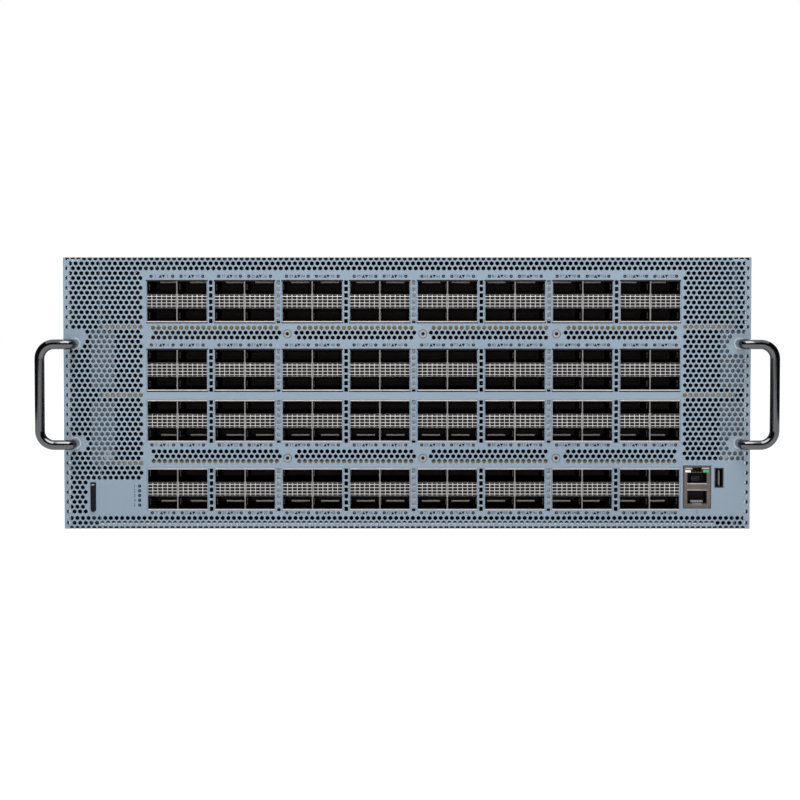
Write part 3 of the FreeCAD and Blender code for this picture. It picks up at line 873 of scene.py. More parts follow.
SPRING = Finish("spring_steel", (0.90, 0.86, 0.83), (0.80, 0.76, 0.74), 0.4, 0.55, drift=200.0, bump=0.05)
GOLD = Finish("contact_gold", (0.72, 0.56, 0.30), (0.62, 0.47, 0.24), 0.2, 0.3, metallic=0.9, drift=300.0,
              bump=0.03)
GREY_MOULDING = Finish("grey_moulding", (0.13, 0.125, 0.14), (0.10, 0.097, 0.11), 0.4, 0.55, drift=220.0)
SINK = Finish("mill_aluminium", (0.70, 0.71, 0.72), (0.62, 0.63, 0.65), 0.25, 0.4, metallic=0.9, drift=25.0,
              grain=500.0, stretch=(1.0, 0.1, 1.0), bump=0.05)
SUPPLY_STEEL = Finish("supply_steel", (0.54, 0.55, 0.57), (0.46, 0.47, 0.49), 0.28, 0.45, metallic=0.8,
                      drift=35.0, grain=400.0, stretch=(0.15, 1.0, 1.0), bump=0.05)
BOARD = BoardFinish("laminate", (0.56, 0.435, 0.25), (0.40, 0.305, 0.165), 0.45, 0.6, drift=500.0, grain=1500.0,
                    stretch=(0.2, 0.2, 4.0))


def dress(obj: Obj, *finishes: Finish) -> Obj:
    """Give an object its materials.

    Args:
        obj: the object.
        finishes: its finishes, in the order of their indexes.

    Returns:
        The same object.
    """
    obj.data.materials.clear()
    for finish in finishes:
        obj.data.materials.append(finish.material())
    return obj


# Front of the switch


@dataclass
class PortGrid:
    """Where the cages stand, and how large a port is."""

    columns: int = 8
    port_w: float = 18.65
    port_h: float = 8.3
    grille_h: float = 8.9
    wall: float = 0.45
    plate: float = 0.7
    divider: float = 0.9
    ladder: float = 4.16
    rows: tuple[str, ...] = ("cages_row_1", "cages_row_2", "cages_row_3", "cages_row_4")
    hanging: tuple[str, ...] = ("cages_row_3", "cages_row_4")

    @property
    def cage_w(self) -> float:
        """Width of one cage."""
        return 2 * self.port_w + self.divider + 2 * self.wall

    @property
    def pitch(self) -> float:
        """Step from cage to cage."""
        return self.cage_w + self.ladder

    def centres(self) -> list[float]:
        """Middles of the cages along X."""
        left = spans(self.rows[0])[0][0] + self.cage_w / 2
        return [left + i * self.pitch for i in range(self.columns)]

    def block(self) -> Span:
        """Left and right end of all the cages."""
        return self.centres()[0] - self.cage_w / 2, self.centres()[-1] + self.cage_w / 2

    def levels(self) -> tuple[float, float, float, float]:
        """Heights above the cage's underside of the lower port's floor and roof and the upper one's."""
        roof = self.plate + self.port_h
        return self.plate, roof, roof + self.grille_h, roof + self.grille_h + self.port_h

    def mouth(self, row: str) -> Span:
        """Tell where a row's mouths lie, which leave out the pins at the board.

        Args:
            row: the solid of the row.

        Returns:
            The lowest and the highest place of the mouths.
        """
        low, high = spans(row)[2]
        height = self.levels()[3] + self.plate
        return (low, low + height) if row in self.hanging else (high - height, high)


@dataclass
class PerforatedPanel:
    """The painted front sheet: fine perforation, windows, lamp holes and the marks printed beside them."""

    grid: PortGrid
    # perforation: fields at both sides, full rows at the edges, strips between the cage rows
    pitch: float = 3.5927
    row_step: float = 3.12
    hole_flats: float = 2.52
    rim: float = 0.1
    first_row: float = 173.28
    top_rows: int = 3
    base_row: float = 6.87
    base_rows: int = 3
    row_count: int = 56
    odd_column: float = 0.1
    edge: float = 218.4
    block_gaps: Span = (3.2, 2.6)
    tag_row: int = 46
    tag_edge: float = -205.6
    jack_row: int = 42
    jack_edge: float = 216.4
    strip_tops: Span = (129.04, 49.75)
    strip_rows: int = 3
    strip_column: float = -162.65
    strip_gaps: Span = (2.5, 2.0)
    # plain metal round the handle legs: middle across and up, half width and half height
    pads: tuple[tuple[float, float, float, float], ...] = (
        (-213.0, 121.9, 7.57, 7.57), (213.0, 118.9, 7.5, 7.5), (-213.0, 54.4, 7.3, 5.9), (213.0, 54.4, 7.3, 5.9))
    # windows: the cages', and for the other solids their gap, lower corner radius and hidden foot
    gap: float = 0.15
    under_gap: float = 0.75
    openings: tuple[tuple[str, float, float, float], ...] = (
        ("network_jacks", 0.4, 0.0, 0.0), ("bus_socket", 0.25, 0.0, 1.35), ("asset_tag", 0.25, 1.4, 0.0))
    rung: Span = (1.15, 1.42)
    rungs: int = 7
    rung_step: float = 4.09
    rung_drop: float = 0.4
    # lamps and marks, from the middle of a cage
    lamp_r: float = 1.08
    lamp_depth: Span = (0.3, 5.3)
    lamp_rows: tuple[float, ...] = (161.95, 118.0, 53.9, 10.2)
    lamp_offsets: tuple[float, ...] = (-16.45, -2.6, 2.75, 16.6)
    arrow_offsets: tuple[float, ...] = (-10.5, -8.55, 8.2, 10.15)
    arrow_half: Span = (1.25, 1.35)
    arrow_shift: float = 0.25
    number_offsets: tuple[float, ...] = (-13.5, -5.9, 5.5, 13.1)
    figure_h: float = 2.66
    figure_step: float = 1.35
    status_x: float = -171.75
    status_rows: tuple[float, ...] = (27.5, 24.5, 21.4, 18.3, 15.2)
    status_gap: float = 3.2
    jack_numbers: Span = (1.95, 2.6)
    screws: tuple[float, ...] = (-76.7, 10.1, 95.5)
    screw_rows: tuple[float, ...] = (125.2, 45.5)
    screw_r: float = 2.75
    screw_rim: float = 0.45
    screw_clear: float = 4.9
    recess_r: float = 1.15
    x: Span = field(init=False)
    y: Span = field(init=False)
    z: Span = field(init=False)

    def __post_init__(self) -> None:
        """Read the sheet's place from the frame."""
        self.x, self.y, self.z = spans("front_panel")

    def columns(self, left: float, right: float, start: float) -> list[float]:
        """Hole middles of one row.

        Args:
            left, right: limits for the middles.
            start: any middle of that row's lattice.

        Returns:
            The middles from left to right.
        """
        first = math.ceil((left - start) / self.pitch)
        last = math.floor((right - start) / self.pitch)
        return [start + i * self.pitch for i in range(first, last + 1)]

    def on_handle_pad(self, x: float, z: float) -> bool:
        """Whether a hole would lie in the plain metal round a handle's leg."""
        return any(math.hypot((x - across) / wide, (z - up) / high) < 1 for across, up, wide, high in self.pads)

    def near_screw(self, x: float) -> bool:
        """Whether a hole would lie beside one of the panel screws."""
        return any(abs(x - screw) < self.screw_clear for screw in self.screws)

    def hole_rows(self) -> list[tuple[float, list[float]]]:
        """Work out the perforation: both sides, the edges above and below, and the strips between cage rows.

        Returns:
            The height of each row of holes and the middles of its holes.
        """
        rows = []
        left, right = self.grid.block()
        for k in range(self.row_count):
            base = k - self.row_count + self.base_rows
            z = self.first_row - k * self.row_step if base < 0 else self.base_row - base * self.row_step
            start = self.odd_column + (0 if k % 2 else self.pitch / 2)
            if k < self.top_rows or base >= 0:
                xs = self.columns(-self.edge, self.edge, start)
            else:
                inner = (left - self.block_gaps[0] if k < self.tag_row else self.tag_edge,
                         right + self.block_gaps[1] if k < self.jack_row else self.jack_edge)
                xs = self.columns(-self.edge, inner[0], start) + self.columns(inner[1], self.edge, start)
            rows.append((z, [x for x in xs if not self.on_handle_pad(x, z)]))
        for top in self.strip_tops:
            for i in range(self.strip_rows):
                start = self.strip_column + i % 2 * self.pitch / 2
                xs = self.columns(left + self.strip_gaps[0], right - self.strip_gaps[1], start)
                rows.append((top - i * self.row_step, [x for x in xs if not self.near_screw(x)]))
        return rows

    def hole(self, sides: int, half: Span, corner: float = 0.0) -> Obj:
        """Model one hole at the origin: a softened rim at the front, a wall, and the same rim at the back.

        Args:
            sides: points of its outline.
            half: half its width and height.
            corner: radius of its two lower corners, or 0 for sharp ones.

        Returns:
            The open tube.
        """
        wide = (half[0] + self.rim, half[1] + self.rim)
        tube = loop("hole", sides, wide, (0, self.y[0], 0))
        if corner:
            with Bench(tube) as bench:
                bench.points(lambda at: at.z < 0)
                bpy.ops.mesh.bevel(offset=corner * MM, segments=4, affect="VERTICES")
        with Bench(tube) as bench:
            bench.extrude_edges((0, self.rim, 0))
            bench.scale((half[0] / wide[0], 1, half[1] / wide[1]), (0, self.y[0] + self.rim, 0))
            bench.extrude_edges((0, extent(self.y) - 2 * self.rim, 0))
            bench.extrude_edges((0, self.rim, 0))
            bench.scale((wide[0] / half[0], 1, wide[1] / half[1]), (0, self.y[1], 0))
        return tube

    def perforation(self) -> list[Obj]:
        """Copy one small hole into all the rows.

        Returns:
            The unbroken runs of holes.
        """
        radius = self.hole_flats / 2 / math.cos(math.pi / 6)
        pattern = self.hole(6, (radius, radius))
        runs = []
        for z, xs in self.hole_rows():
            start = 0
            for end in range(1, len(xs) + 1):
                if end == len(xs) or xs[end] - xs[end - 1] > self.pitch + NEAR:
                    runs.append(clone(pattern, "hole_row", (xs[start], 0, z)))
                    array(runs[-1], end - start, (self.pitch, 0, 0))
                    start = end
        scrap(pattern)
        return runs

    def windows(self) -> list[Obj]:
        """Cut the windows for the cages, the jacks, the socket and the tag, and the ladders between cages.

        Returns:
            The open tubes of all these.
        """
        grid, cuts = self.grid, []
        for row in grid.rows:
            low, high = grid.mouth(row)
            reach = (low - (self.gap if row in grid.hanging else self.under_gap), high + self.gap)
            window = self.hole(4, (grid.cage_w / 2 + self.gap, extent(reach) / 2))
            cuts += scatter(window, [(x, 0, middle(reach)) for x in grid.centres()])
            rung = self.hole(4, self.rung)
            array(rung, self.rungs, (0, 0, self.rung_step))
            first = middle((low, high)) - (self.rungs - 1) / 2 * self.rung_step - self.rung_drop
            cuts += scatter(rung, [(x + grid.pitch / 2, 0, first) for x in grid.centres()[:-1]])
        for node, gap, corner, foot in self.openings:
            x, _, z = spans(node)
            z = (z[0], z[1] - foot)
            opening = self.hole(4, (extent(x) / 2 + gap, extent(z) / 2 + gap), corner)
            cuts += scatter(opening, [(middle(x), 0, middle(z))])
        return cuts

    def lamp_places(self) -> list[Place]:
        """Middles of all the lamp holes, in the plane of the panel."""
        places = [(x + off, 0, z) for z in self.lamp_rows for x in self.grid.centres() for off in self.lamp_offsets]
        return places + [(self.status_x, 0, z) for z in self.status_rows]

    def screw_places(self) -> list[Place]:
        """Middles of the panel screws, in the plane of the panel."""
        return [(x, 0, z) for x in self.screws for z in self.screw_rows]

    def sheet(self) -> None:
        """Fill the sheet between all its holes and trim its upper and lower edges through the outermost rows."""
        spare, screw_hole = 6.0, self.screw_r - self.screw_rim
        border = loop("border", 4, (extent(self.x) / 2, extent(self.z) / 2 + spare),
                      (middle(self.x), self.y[0], middle(self.z)))
        with Bench(border) as bench:
            bench.extrude_edges((0, extent(self.y), 0))
        holes = self.perforation() + self.windows()
        holes += scatter(self.hole(12, (self.lamp_r, self.lamp_r)), self.lamp_places())
        holes += scatter(self.hole(16, (screw_hole, screw_hole)), self.screw_places())
        panel = join("perforated_panel", [border] + holes)
        fill_flat(panel, self.y[0])
        with Bench(panel) as bench:
            bench.faces(lambda at, normal: abs(at.y - self.y[0]) < NEAR)
            bpy.ops.mesh.duplicate()
            bench.move((0, extent(self.y), 0))
            bench.close_up()
            bench.trim(2, self.z[1], True)
            bench.trim(2, self.z[0], False)
            bench.close_up()
        place_piece(dress(panel, PANEL_PAINT), Slot.PANEL, "front_panel")

    def lamps(self) -> None:
        """Fill each lamp hole with the domed end of a light pipe in a dark ring, which is painted shade for the gap
        in the hole.
        """
        slack, wall, dome = 0.04, 0.68, 0.12
        lamp = drum("lamp", self.lamp_r - slack, (0, 0), beyond(self.y[0], *self.lamp_depth), 12)
        dress(lamp, LAMP_GAP_SHADE, LAMP)
        with Bench(lamp) as bench:
            bench.faces(faces_front)
            bench.inset(wall)
            bench.paint(1)
            bench.inset(dome)
            bench.move((0, -dome, 0))
        lamps = join("port_lamps", scatter(lamp, self.lamp_places()))
        soften(lamps, 50)
        place_piece(lamps, Slot.LATCH)

    def screw_heads(self) -> None:
        """Set the panel screws: a flat head with a deep recess, whose rounded edge and recess are painted dark as
        painted shade.
        """
        rise, depth, deep = 0.3, 1.2, 1.0
        head = drum("screw", self.screw_r, (0, 0), beyond(self.y[0], -rise, depth))
        dress(head, ZINC, PORT_SHADE)
        with Bench(head) as bench:
            bench.faces(faces_front)
            bench.bevel(rise, 2)
            bench.faces(lambda at, normal: normal.y < -0.99)
            bench.inset(self.screw_r - rise - self.recess_r)
            bench.extrude((0, deep, 0))
            # The recess and the rim are painted dark: painted shade of the recess and of the countersink round the
            # head.
            bench.faces(lambda at, normal: math.hypot(at.x, at.z) < self.recess_r and at.y > self.y[0] - 0.2
                        or math.hypot(at.x, at.z) > self.screw_r - self.screw_rim)
            bench.paint(1)
        heads = join("panel_screws", scatter(head, self.screw_places()))
        soften(heads)
        place_piece(heads, Slot.BRACKET)

    def digits(self) -> dict[str, Obj]:
        """Model the ten figures once.

        Returns:
            Figure to its mesh, standing in the plane of the panel with its middle at X and Z zero.
        """
        figures = {}
        for mark in "0123456789":
            bpy.ops.object.text_add(rotation=UPRIGHT)
            text = bpy.context.object
            text.data.body = mark
            text.data.align_x = text.data.align_y = "CENTER"
            text.data.size = self.figure_h * MM
            text.data.resolution_u = 2
            text.data.extrude = 0.02 * MM
            only(text)
            bpy.ops.object.convert(target="MESH")
            text.location = metres(0, self.y[0] - 0.01, 0)
            figures[mark] = settle(bpy.context.object, "figure")
        return figures

    def arrow(self) -> Obj:
        """Model one arrow that points up.

        Returns:
            The arrow, in the plane of the panel with its middle at X and Z zero.
        """
        arrow = loop("arrow", 3, self.arrow_half, (0, self.y[0] - 0.03, 0))
        with Bench(arrow) as bench:
            bench.every_edge()
            bench.cap()
            bench.all()
            bench.extrude((0, 0.05, 0))
            bench.close_up()
        return arrow

    def marks(self) -> None:
        """Print the port numbers, the arrows beside them and the numbers at the status lamps and the jacks."""
        figures, arrow, numbers, arrows = self.digits(), self.arrow(), [], []
        flipped = Matrix.Rotation(math.pi, 4, "Y")

        def number(value: int, x: float, z: float) -> None:
            """Print one number.

            Args:
                value: the number.
                x, z: its middle.
            """
            left = x - (len(str(value)) - 1) / 2 * self.figure_step
            for i, mark in enumerate(str(value)):
                numbers.append(clone(figures[mark], "number", (left + i * self.figure_step, 0, z)))

        for row, z in enumerate(self.lamp_rows):
            for cage, x in enumerate(self.grid.centres()):
                for i, (off, point) in enumerate(zip(self.number_offsets, self.arrow_offsets)):
                    right, lower = divmod(i, 2)
                    number(16 * cage + 8 * right + 2 * row + 1 + lower, x + off, z)
                    place = (x + point, 0, z + (self.arrow_shift if lower else -self.arrow_shift))
                    arrows.append(clone(arrow, "arrow", place, flipped if lower else None))
        for value, z in enumerate(self.status_rows, 1):
            number(value, self.status_x - self.status_gap, z)
        jack_x, _, jack_z = spans("network_jacks")
        number(1, middle(jack_x), jack_z[1] + self.jack_numbers[0])
        number(2, middle(jack_x), jack_z[0] - self.jack_numbers[1])
        scrap(arrow, *figures.values())
        for name, parts, ink in (("port_numbers", numbers, PALE_INK), ("port_arrows", arrows, INK)):
            place_piece(dress(join(name, parts), ink), Slot.BLACK)

    def build(self) -> None:
        """Build the sheet and all that sits in it."""
        for step in (self.sheet, self.lamps, self.screw_heads, self.marks):
            step()


@dataclass
class PortCages:
    """The stacked cages: bright shells, grilles between the port levels, and insides painted dark as painted shade.
    """

    grid: PortGrid
    depth: float = 58.0
    lip: float = 0.25
    grille_cells: tuple[int, int] = (6, 5)
    grille_row: float = 2.04
    grille_web: float = 0.22
    grille_depth: float = 1.3
    grille_bend: float = 0.5
    pocket: float = 2.9
    connector_x: Span = (-17.4, -1.3)
    connector_y: Span = (-9.0, 0.2)
    connector_z: Span = (1.2, 5.6)
    connector_wall: float = 1.3
    connector_depth: float = 6.0
    post_w: float = 1.3
    post_y: Span = (0.01, 1.4)
    post_over: float = 0.4
    spring_half: float = 6.0
    spring_y: Span = (51.0, 54.0)
    spring_z: Span = (-1.0, -0.1)
    tab_out: float = 0.5
    tab_sunk: float = 0.02
    tab_y: Span = (12.0, 15.0)
    tab_h: float = 1.7
    lower_tabs: Span = (1.4, 3.6)
    upper_tabs: Span = (2.6, 4.8)

    def shell(self, front: float, back: float) -> Obj:
        """Model the shell of one cage, its underside at zero.

        Args:
            front, back: ends along Y.

        Returns:
            A block with four deep pockets and a shallow one behind each grille.
        """
        grid, levels = self.grid, self.grid.levels()
        half, post = grid.cage_w / 2 - grid.wall, grid.divider * 0.4
        cage = box("cage", about(0, grid.cage_w / 2), (front, back), (0, levels[3] + grid.plate))
        dress(cage, NICKEL, PORT_SHADE, SHADED_NICKEL, PANEL_PAINT)

        def in_level(at: Vector, *bounds: Span) -> bool:
            """Whether a place lies beside the post and between one of the pairs of heights."""
            return post < abs(at.x) < half and any(within(at.z, span) for span in bounds)

        with Bench(cage) as bench:
            bench.cut(0, (-half, -post, post, half))
            bench.cut(2, levels)
            bench.faces(lambda at, normal: normal.y < -FLAT and in_level(at, levels[:2], levels[2:]))
            bench.extrude((0, self.lip, 0))
            bench.extrude((0, self.depth - self.lip, 0))
            bench.faces(lambda at, normal: normal.y < -FLAT and at.y < front + 0.1 and in_level(at, levels[1:3]))
            bench.extrude((0, self.pocket, 0))
            # The ports' and the pockets' insides are painted dark: painted shade.
            bench.paint_inside(about(0, half + NEAR), (front + self.lip + 0.2, back - 1),
                               (levels[0] - NEAR, levels[3] + NEAR))
            bench.faces(lambda at, normal: normal.y < -FLAT and abs(at.x) > half)
            bench.paint(3)
            # The divider's front edges take the darker nickel: painted shade.
            bench.faces(lambda at, normal: normal.y < -FLAT and abs(at.x) < post and within(at.z, levels[::3]))
            bench.paint(2)
        return cage

    def grille(self, front: float) -> Obj:
        """Model the grille of one port: a sheet with rows of small holes, bent back above and below.

        Args:
            front: its place along Y.

        Returns:
            The grille, with its middle at X zero.
        """
        across, up = self.grille_cells
        reach = self.grid.levels()[1:3]
        centre, row = middle(reach), extent(reach) / up
        grille = grid_sheet("grille", (across, up), (self.grid.port_w + 0.2, extent(reach)), (0, front, centre))
        dress(grille, NICKEL, PORT_SHADE)
        with Bench(grille) as bench:
            for line in (-1.5, -0.5, 0.5, 1.5):
                bench.points(lambda at: abs(at.z - centre - line * row) < NEAR)
                bench.move((0, 0, line * (self.grille_row - row)))
            bench.points(lambda at: abs(abs(at.z - centre) - extent(reach) / 2) < NEAR)
            bench.move((0, self.grille_bend, 0))
            bench.all()
            bench.inset(self.grille_web, each=True)
            bench.extrude((0, self.grille_depth, 0))
            # The holes' bottoms and walls are painted dark: painted shade.
            bench.paint(1)
            bench.faces(lambda at, normal: abs(normal.y) < 0.5)
            bench.paint(1)
        return grille

    def connector(self, inside: float) -> Obj:
        """Model the dark connector at the back of a port.

        Args:
            inside: back of the port along Y.

        Returns:
            The connector, for a port whose right wall is at X zero and whose floor is at Z zero.
        """
        plug = box("connector", self.connector_x, beyond(inside, *self.connector_y), self.connector_z)
        with Bench(dress(plug, PORT_SHADE)) as bench:
            bench.faces(faces_front)
            bench.inset(self.connector_wall)
            bench.extrude((0, self.connector_depth, 0))
        return plug

    def cage(self, front: float, back: float) -> Obj:
        """Model a whole cage: shell, grilles, the post between them, connectors, spring edges and tabs.

        Args:
            front, back: ends along Y.

        Returns:
            The cage, its underside at Z zero and its middle at X zero.
        """
        grid, levels = self.grid, self.grid.levels()
        step = (grid.port_w + grid.divider) / 2
        rights = [side * step + grid.port_w / 2 for side in SIDES]
        post = box("post", about(0, self.post_w / 2), beyond(front, *self.post_y),
                   shrink(levels[1:3], -self.post_over), 0.25, 2)
        bar = box("spring_edge", about(0, self.spring_half), beyond(front, *self.spring_y),
                  beyond(levels[3], *self.spring_z), 0.1)
        tab_size = beyond(front, *self.tab_y), (0, self.tab_h), 0.12
        tabs = (box("left_tab", (-self.tab_sunk, self.tab_out), *tab_size),
                box("right_tab", (-self.tab_out, self.tab_sunk), *tab_size))
        tab_rows = [levels[0] + low for low in self.lower_tabs] + [levels[2] + low for low in self.upper_tabs]
        parts = [self.shell(front, back), dress(post, NICKEL)]
        parts += scatter(self.grille(front + 0.15), [(side * step, 0, 0) for side in SIDES])
        parts += scatter(self.connector(front + self.depth), [(x, 0, z) for x in rights for z in levels[::2]])
        parts += scatter(dress(bar, SPRING), [(side * step, 0, 0) for side in SIDES])
        # The tabs take the darker nickel: painted shade deep in the ports.
        for tab, inward in zip(tabs, (grid.port_w, 0)):
            parts += scatter(dress(tab, SHADED_NICKEL), [(x - inward, 0, z) for x in rights for z in tab_rows])
        return join("cage", parts)

    def build(self) -> None:
        """Copy the cage along each row; the lower rows hang, turned over, and the others have their roof edges
        painted dark as painted shade.
        """
        pattern = self.cage(*spans(self.grid.rows[0])[1])
        for row in self.grid.rows:
            low, high = self.grid.mouth(row)
            turned = row in self.grid.hanging
            turn = Matrix.Rotation(math.pi, 4, "Y") if turned else None
            cages = [clone(pattern, "cage", (x, 0, high if turned else low), turn) for x in self.grid.centres()]
            piece = join("port_" + row, cages)
            if not turned:
                # Painted shade on the roof edges of the standing rows.
                with Bench(piece) as bench:
                    bench.faces(lambda at, normal: normal.y < -FLAT and at.z > high - self.grid.plate)
                    bench.paint(1)
            place_piece(piece, Slot.NICKEL, row)
        scrap(pattern)


@dataclass
class ServiceJacks:
    """The stacked network jacks and the upright socket beside them."""

    wall: float = 2.4
    port_h: float = 8.4
    top: float = 2.45
    floor: float = 2.8
    depth: float = 16.0
    lip: float = 0.8
    key_half: float = 2.9
    key_top: float = 0.75
    contacts: int = 8
    contact_pitch: float = 1.02
    contact_half: float = 0.24
    upper_contact_y: Span = (4.0, 12.0)
    upper_contact_z: Span = (-1.9, -1.5)
    lower_contact_y: Span = (2.0, 8.0)
    lower_contact_z: Span = (0.7, 1.9)
    lip_y: Span = (-0.02, 1.5)
    upper_lip_z: Span = (-0.75, -0.1)
    lower_lip_z: Span = (0.1, 0.6)
    chin_inset: float = 3.2
    chin_y: Span = (-0.04, 7.0)
    chin_z: Span = (-1.4, 0.4)
    inner_wall_y: Span = (9.0, 15.0)
    inner_wall_z: Span = (0.1, 4.0)
    lamp_inset: float = 1.0
    lamp_w: float = 3.7
    lamp_y: Span = (-0.04, 6.0)
    lamp_z: Span = (-4.1, -2.4)
    brow_w: float = 4.6
    brow_y: Span = (-0.04, 3.0)
    brow_z: Span = (-1.7, -1.0)
    socket_round: float = 0.6
    socket_rim: float = 0.4
    socket_lip: float = 0.4
    socket_depth: float = 12.0
    tongue_half: float = 0.5
    tongue_start: float = 0.8
    tongue_inset: float = 1.2
    socket_foot: float = 1.35
    foot_inset: float = 0.6
    foot_start: float = 6.0
    socket_contacts: int = 4
    socket_pitch: float = 2.2
    pin_x: Span = (-0.7, -0.5)
    pin_y: Span = (3.0, 10.0)
    pin_half: float = 0.5

    def stack(self, x: Span, y: Span, z: Span, mouths: tuple[Span, Span]) -> Obj:
        """Model the shield of the two jacks.

        Args:
            x, y, z: where it lies.
            mouths: heights of the upper mouth and of the lower one.

        Returns:
            A block with two deep mouths and a keyway above the upper one.
        """
        stack = dress(box("network_jack_stack", x, y, z), JACK_SHIELD, PORT_SHADE)
        inner, key, key_roof = shrink(x, self.wall), about(middle(x), self.key_half), z[1] - self.key_top

        def in_mouth(at: Vector) -> bool:
            """Whether a place lies in a mouth, or in the keyway above the upper one."""
            in_key = within(at.x, key) and within(at.z, (mouths[0][1] - NEAR, key_roof))
            return in_key or within(at.x, inner) and any(within(at.z, mouth) for mouth in mouths)

        with Bench(stack) as bench:
            bench.cut(0, (inner[0], *key, inner[1]))
            bench.cut(2, (key_roof, *mouths[0], *mouths[1]))
            bench.faces(lambda at, normal: normal.y < -FLAT and in_mouth(at))
            bench.extrude((0, self.lip, 0))
            bench.extrude((0, self.depth - self.lip, 0))
            # The mouths' and keyway's insides are painted dark: partly the jacks' dark plastic, partly painted shade.
            bench.faces(lambda at, normal: at.y > y[0] + 1 and in_mouth(at))
            bench.paint(1)
            bench.paint_inside(shrink(inner, -0.1), beyond(y[0], 1, self.depth - 0.5), (z[0] + 1, z[1] - 0.5))
        return stack

    def jacks(self) -> None:
        """Model the shielded stack with its two keyed mouths, contacts and lamps."""
        x, y, z = spans("network_jacks")
        upper, lower = beyond(z[1] - self.top, -self.port_h, 0), beyond(z[0] + self.floor, 0, self.port_h)
        inner = shrink(x, self.wall)
        parts = [self.stack(x, y, z, (upper, lower))]
        first = middle(x) - (self.contacts - 1) / 2 * self.contact_pitch
        columns = [(first + i * self.contact_pitch, 0, 0) for i in range(self.contacts)]
        for reach, place, finish in ((self.upper_contact_y, beyond(upper[1], *self.upper_contact_z), GOLD),
                                     (self.lower_contact_y, beyond(lower[0], *self.lower_contact_z), NICKEL)):
            pin = box("contact", about(0, self.contact_half), beyond(y[0], *reach), place, 0.06)
            parts += scatter(dress(pin, finish), columns)
        for edge in (beyond(upper[0], *self.upper_lip_z), beyond(lower[1], *self.lower_lip_z)):
            parts.append(dress(box("lip", shrink(inner, -0.2), beyond(y[0], *self.lip_y), edge, 0.1), NICKEL))
        chin = box("chin", shrink(inner, self.chin_inset), beyond(y[0], *self.chin_y),
                   beyond(lower[0], *self.chin_z), 0.35, 2)
        wall = box("inner_wall", about(middle(x), self.key_half), beyond(y[0], *self.inner_wall_y),
                   beyond(upper[0], *self.inner_wall_z), 0.3, 2)
        parts += [dress(chin, GREY_MOULDING), dress(wall, BLACK)]
        lamp_left, lamp_right = shrink(x, self.lamp_inset)
        for lamp_x, brow_x, finish in (
                (beyond(lamp_left, 0, self.lamp_w), beyond(lamp_left, 0, self.brow_w), CLEAR_LAMP),
                (beyond(lamp_right, -self.lamp_w, 0), beyond(lamp_right, -self.brow_w, 0), GREEN_LAMP)):
            lamp = box("jack_lamp", lamp_x, beyond(y[0], *self.lamp_y), beyond(z[1], *self.lamp_z), 0.15)
            brow = box("brow", brow_x, beyond(y[0], *self.brow_y), beyond(z[1], *self.brow_z), 0.12)
            parts += [dress(lamp, finish), dress(brow, NICKEL)]
        place_piece(join("network_jack_stack", parts), Slot.JACK, "network_jacks")

    def socket(self) -> None:
        """Model the upright socket: a rolled shell, an inside painted dark as painted shade, and the tongue with its
        contacts.
        """
        x, y, z = spans("bus_socket")
        z = (z[0], z[1] - self.socket_foot)
        shell = dress(box("bus_socket_shell", x, y, z), BLACK, PORT_SHADE)
        with Bench(shell) as bench:
            bench.edges(lambda a, b: abs(a.y - b.y) > 1)
            bench.bevel(self.socket_round, 3)
            bench.faces(faces_front)
            bench.inset(self.socket_rim)
            bench.extrude((0, self.socket_lip, 0))
            bench.extrude((0, self.socket_depth - self.socket_lip, 0))
            # The inside is painted dark: painted shade.
            bench.paint(1)
            bench.paint_inside(shrink(x, 0.2), beyond(y[0], 0.5, self.socket_depth - 0.1), shrink(z, 0.2))
        tongue = box("tongue", about(middle(x), self.tongue_half), beyond(y[0], self.tongue_start, self.socket_depth),
                     shrink(z, self.tongue_inset), 0.2, 2)
        foot = box("foot", shrink(x, self.foot_inset), (y[0] + self.foot_start, y[1]),
                   beyond(z[1], -0.2, self.socket_foot), 0.2)
        pin = box("contact", beyond(middle(x), *self.pin_x), beyond(y[0], *self.pin_y), about(0, self.pin_half), 0.05)
        first = middle(z) - (self.socket_contacts - 1) / 2 * self.socket_pitch
        rows = [(0, 0, first + i * self.socket_pitch) for i in range(self.socket_contacts)]
        parts = [shell, dress(tongue, GREY_MOULDING), dress(foot, BLACK)] + scatter(dress(pin, GOLD), rows)
        piece = join("bus_socket_shell", parts)
        soften(piece)
        place_piece(piece, Slot.NICKEL, "bus_socket")

    def build(self) -> None:
        """Build both."""
        self.jacks()
        self.socket()


@dataclass
class PullTag:
    """The black tag that slides out of the lower left of the panel."""

    corner: float = 1.3
    nose: float = 0.9
    nick: Span = (5.0, 9.0)
    nick_rim: float = 0.8
    waist: float = 0.8
    line_z: Span = (-1.5, -0.9)

    def build(self) -> None:
        """Model the tag: a rounded lower end, a domed nose with a painted highlight line on it and a finger nick
        behind it.
        """
        x, y, z = spans("asset_tag")
        nick = beyond(y[0], *self.nick)
        tag = box("pull_tag", x, y, z)
        with Bench(tag) as bench:
            bench.edges(lambda a, b: abs(a.y - b.y) > 1 and max(a.z, b.z) < z[0] + 0.1)
            bench.bevel(self.corner, 4)
            bench.edges(lambda a, b: max(a.y, b.y) < y[0] + 0.1)
            bench.bevel(self.nose, 4)
            bench.cut(1, nick)
            bench.faces(lambda at, normal: abs(normal.x) > FLAT and within(at.y, nick))
            bench.inset(self.nick_rim, each=True)
            bench.scale((self.waist, 1, 1), (middle(x), middle(nick), middle(z)))
        # A pale bar along the nose's top: a painted highlight where its edge catches the light.
        line = box("line", shrink(x, 0.55), beyond(y[0], -0.08, 1.2), beyond(z[1], *self.line_z), 0.12)
        tag = join("pull_tag", [dress(tag, TAG_BLACK), dress(line, BRIGHT_ZINC)])
        soften(tag, 40)
        place_piece(tag, Slot.BLACK, "asset_tag", body=Body.TAG.value)


